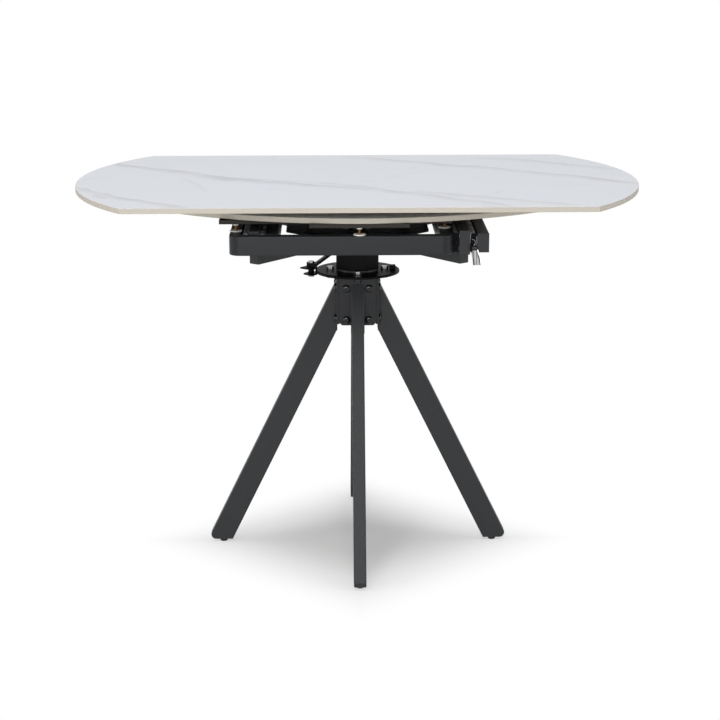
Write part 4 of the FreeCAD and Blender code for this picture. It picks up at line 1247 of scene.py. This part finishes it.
@dataclass
class LockLever(SubAssembly):
    """Chromed lever in the shape of a flared trough, below a black eye round its pin."""

    side: Side
    pin: Point = (211.5, -282, 664)
    length: float = 32
    neck: float = 10
    flare: float = 15
    flare_power: float = 0.8
    lean: float = 6
    dish: float = 3.4
    dish_power: float = 2.4
    dish_middle: float = 0.5
    flute: float = 0.5
    sheet: float = 1.2
    blade_drop: float = 3.5
    blade_slant: float = 1.0
    columns: int = 24
    rows: int = 12
    eye_radius: float = 4.5
    eye_bore: float = 2.05
    eye_length: float = 9
    eye_edge: float = 0.4

    def build(self) -> None:
        """Builds the lever from its trough and its eye."""
        seat = self.side.matrix @ Matrix.Translation(self.pin)
        trough = self.trough()
        trough.transform(seat)
        half = self.eye_length / 2
        eye = washer(self.eye_radius, self.eye_bore, -half, half, self.eye_edge)
        eye.transform(seat @ QUARTER_ABOUT_Y)
        label = f"lock_lever_{self.side.label}"
        self.add(f"{label}_flared", trough, REFLECTION_STRIPED_CHROME, label)
        self.add(f"{label}_eye", eye, BLACK_OXIDE)

    def trough(self) -> Mesh:
        """Flared and fluted strip below the origin, whose edges come forward.

        Returns:
            The strip in millimetres.
        """
        mesh = bmesh.new()
        bmesh.ops.create_grid(mesh, x_segments=self.columns, y_segments=self.rows, size=1)
        for vert in mesh.verts:
            across, down = vert.co.x, (1 - vert.co.y) / 2
            width = self.neck + (self.flare - self.neck) * down**self.flare_power
            dish = self.dish * (self.dish_middle - abs(across) ** self.dish_power)
            flute = self.flute * math.cos(FULL_TURN * across)
            drop = self.blade_drop - self.blade_slant * across
            height = -drop - (self.length - drop) * down
            vert.co = (self.lean * down + across * width / 2, dish - flute, height)
        mesh.normal_update()
        bmesh.ops.solidify(mesh, geom=mesh.faces[:], thickness=self.sheet)
        bmesh.ops.recalc_face_normals(mesh, faces=mesh.faces)
        return mesh


@dataclass
class Base(SubAssembly):
    """Column with its swivel plate, four bracketed legs and their glides.

    The leg bolt's outline runs from the end of its shank to the floor of its hexagon socket.
    """

    bracket_face: float = 42
    bolt_side: float = 22.5
    bolt_levels: tuple[float, float] = (538, 474.5)
    bolt_outline: tuple[Ring, ...] = (
        Ring(4, -12),
        Ring(4, 0),
        Ring(8, 0),
        Ring(8, 1.6),
        Ring(7.5, 3.2),
        Ring(6.4, 4.4),
        Ring(4.8, 5),
        Ring(3.2, 5, hexagonal=True),
        Ring(2.9, 4.7, hexagonal=True),
        Ring(2.9, 2, hexagonal=True),
    )
    plate_bottom: float = 564.5
    plate_bolt_edge: float = 0.5
    column_edge: float = 1.5
    welds: WeldPairs = WeldPairs(
        turns=tuple(quarter.value for quarter in Quarter),
        half_width=12,
        distance=42,
        bottom=447,
        length=99,
        radius=1.8,
    )

    def build(self) -> None:
        """Dresses the base's pieces."""
        # The column and brackets take the darker coat, which is painted shade.
        self.round_off(SHADED_BRACKET_COAT, self.column_edge, "column")
        self.round_off(BLACK_COAT, PLATE_EDGE, "swivel_plate")
        self.dress(BRIGHT_STEEL, "spindle", "spindle_nut")
        self.build_plate_bolts()
        self.build_leg_bolts()
        self.add("leg_welds", self.welds.shape(), ANTHRACITE)
        for quarter in Quarter:
            self.round_off(SHADED_BRACKET_COAT, SHEET_EDGE, f"leg_bracket_{quarter.label}")
            self.dress(ANTHRACITE, f"leg_{quarter.label}")
            self.dress(BLACK_PLASTIC, f"foot_glide_{quarter.label}")

    def build_plate_bolts(self) -> None:
        """Zinc-plated bolts through the swivel plate, with black nuts below it."""
        halves = (
            ("plate_bolt_heads", CLEAR_ZINC, 1, ["plate_bolts"]),
            ("plate_bolt_nuts", BLACK_OXIDE, -1, []),
        )
        for name, finish, up, solids in halves:
            mesh = self.copy("plate_bolts")
            cut(mesh, (0, 0, self.plate_bottom), (0, 0, up))
            soften(mesh, self.plate_bolt_edge)
            self.add(name, mesh, finish, *solids)

    def build_leg_bolts(self) -> None:
        """Button-head bolts with hexagon sockets in the four brackets."""
        parts = []
        for quarter in Quarter:
            for side in (-1, 1):
                for level in self.bolt_levels:
                    foot = (side * self.bolt_side, -self.bracket_face, level)
                    seat = quarter.matrix @ Matrix.Translation(foot)
                    parts.append((stack(self.bolt_outline), seat @ QUARTER_ABOUT_X))
        self.add("leg_bolts_socketed", gather(parts), BLACK_OXIDE, "leg_bolts")


@dataclass(frozen=True)
class Softbox:
    """Square lamp, with its place and width in metres and its power in watts."""

    name: str
    place: Point
    width: float
    power: float


@dataclass
class Studio:
    """Pale floor, soft light and the camera.

    The softboxes stand overhead, in front and at both sides, and their aim is in metres.
    """

    camera_place: Point = (-52.6, -3675.9, 1310.1)
    camera_pitch: float = 75.831
    camera_turn: float = -0.898
    camera_roll: float = -0.109
    lens: float = 93.866
    sensor: float = 36.0
    sight: float = 200000
    floor_half: float = 40000
    shadow_from: float = 60
    shadow_to: float = 480
    surround: float = 0.37
    aim: Point = (0, 0, 0.5)
    softboxes: tuple[Softbox, ...] = (
        Softbox("overhead_softbox", (0.0, 0.3, 3.4), 2.0, 27.0),
        Softbox("main_softbox", (-0.5, -2.9, 3.0), 2.0, 42.0),
        Softbox("front_softbox", (-0.6, -5.0, 1.2), 2.2, 74.0),
        Softbox("left_softbox", (-3.4, -1.2, 1.4), 1.4, 22.0),
        Softbox("right_softbox", (3.4, -1.2, 1.4), 1.4, 22.0),
    )

    def build(self) -> None:
        """Sets the stage and the camera."""
        bpy.context.scene.view_settings.view_transform = "Standard"
        self.build_world()
        self.build_floor()
        self.build_lamps()
        self.build_camera()

    def build_world(self) -> None:
        """Even surround light, white where it is seen directly or in a reflection."""
        world = bpy.data.worlds.new("studio")
        bpy.context.scene.world = world
        tree = empty_tree(world)
        soft = {"Color": linear("#F4F6FA"), "Strength": self.surround}
        light = add_node(tree, "Background", soft)[0]
        white = add_node(tree, "Background", {"Color": WHITE, "Strength": 1.0})[0]
        mix = add_node(tree, "MixShader", {0: self.seen_directly(tree), 1: light, 2: white})
        add_node(tree, "OutputWorld", {"Surface": mix[0]})

    def seen_directly(self, tree: Tree) -> Socket:
        """Factor of 1 for rays from the camera, a gloss or a clear material.

        Args:
            tree: Node tree that takes the nodes.

        Returns:
            Value output.
        """
        path = add_node(tree, "LightPath")
        seen = path["Is Camera Ray"]
        for kind in ("Is Glossy Ray", "Is Transmission Ray"):
            pair = {0: seen, 1: path[kind]}
            seen = add_node(tree, "Math", pair, operation="MAXIMUM")["Value"]
        return seen

    def build_floor(self) -> None:
        """Floor that keeps the real shadow near the table and fades it to white by a painted
        falloff.
        """
        mesh = bmesh.new()
        bmesh.ops.create_grid(mesh, x_segments=2, y_segments=2, size=self.floor_half * MM)
        data = bpy.data.meshes.new("floor")
        mesh.to_mesh(data)
        mesh.free()
        material = bpy.data.materials.new("pale_floor")
        tree = empty_tree(material)
        paper = add_node(tree, "BsdfDiffuse", {"Color": linear("#F3F3F1")})[0]
        white = add_node(tree, "Emission", {"Color": WHITE, "Strength": 1.0})[0]
        place = add_node(tree, "TexCoord")["Object"]
        # The fade by the sum of |x| and |y| paints the diamond-shaped falloff of the shadow; the
        # paper inside it shows the real shadow.
        reach = add_node(tree, "VectorMath", {0: place}, operation="ABSOLUTE")
        both = {0: reach["Vector"], 1: (1, 1, 0)}
        far = add_node(tree, "VectorMath", both, operation="DOT_PRODUCT")["Value"]
        limits = {"From Min": self.shadow_from * MM, "From Max": self.shadow_to * MM, "Value": far}
        fade = add_node(tree, "MapRange", limits, interpolation_type="SMOOTHSTEP")
        seen = {0: self.seen_directly(tree), 1: fade["Result"]}
        share = add_node(tree, "Math", seen, operation="MULTIPLY")["Value"]
        mix = add_node(tree, "MixShader", {0: share, 1: paper, 2: white})
        add_node(tree, "OutputMaterial", {"Surface": mix[0]})
        data.materials.append(material)
        add_object("floor", data)

    def build_lamps(self) -> None:
        """Softboxes turned to the table."""
        for box in self.softboxes:
            light = bpy.data.lights.new(box.name, "AREA")
            light.shape = "SQUARE"
            light.size = box.width
            light.energy = box.power
            lamp = add_object(box.name, light)
            lamp.location = box.place
            lamp.rotation_mode = "QUATERNION"
            sight = Vector(self.aim) - Vector(box.place)
            lamp.rotation_quaternion = sight.to_track_quat("-Z", "Y")

    def build_camera(self) -> None:
        """Camera at the photograph's viewing angle."""
        data = bpy.data.cameras.new("camera")
        data.lens = self.lens
        data.sensor_width = self.sensor
        data.clip_end = self.sight * MM
        camera = add_object("camera", data)
        pitch = Matrix.Rotation(math.radians(self.camera_pitch), 4, "X")
        lie = turned(self.camera_turn) @ pitch @ turned(self.camera_roll)
        camera.matrix_world = Matrix.Translation(Vector(self.camera_place) * MM) @ lie
        bpy.context.scene.camera = camera


def main() -> None:
    """Loads the frame, dresses each sub-assembly and sets the stage."""
    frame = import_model()
    nodes = frame["nodes"]
    Leaf(nodes, Body.FRONT_LEAF, End.FRONT, Body.FRONT_CAGES).build()
    Leaf(nodes, Body.REAR_LEAF, End.REAR, Body.REAR_CAGES).build()
    Turntable(nodes, Body.TURNTABLE).build()
    Brake(nodes, Body.BRAKE).build()
    LockLever(nodes, Body.RIGHT_LOCK, Side.RIGHT).build()
    LockLever(nodes, Body.LEFT_LOCK, Side.LEFT).build()
    Base(nodes, Body.BASE).build()
    Studio().build()


if __name__ == "__main__":
    logging.basicConfig(level=logging.INFO, format="%(name)s: %(message)s")
    main()
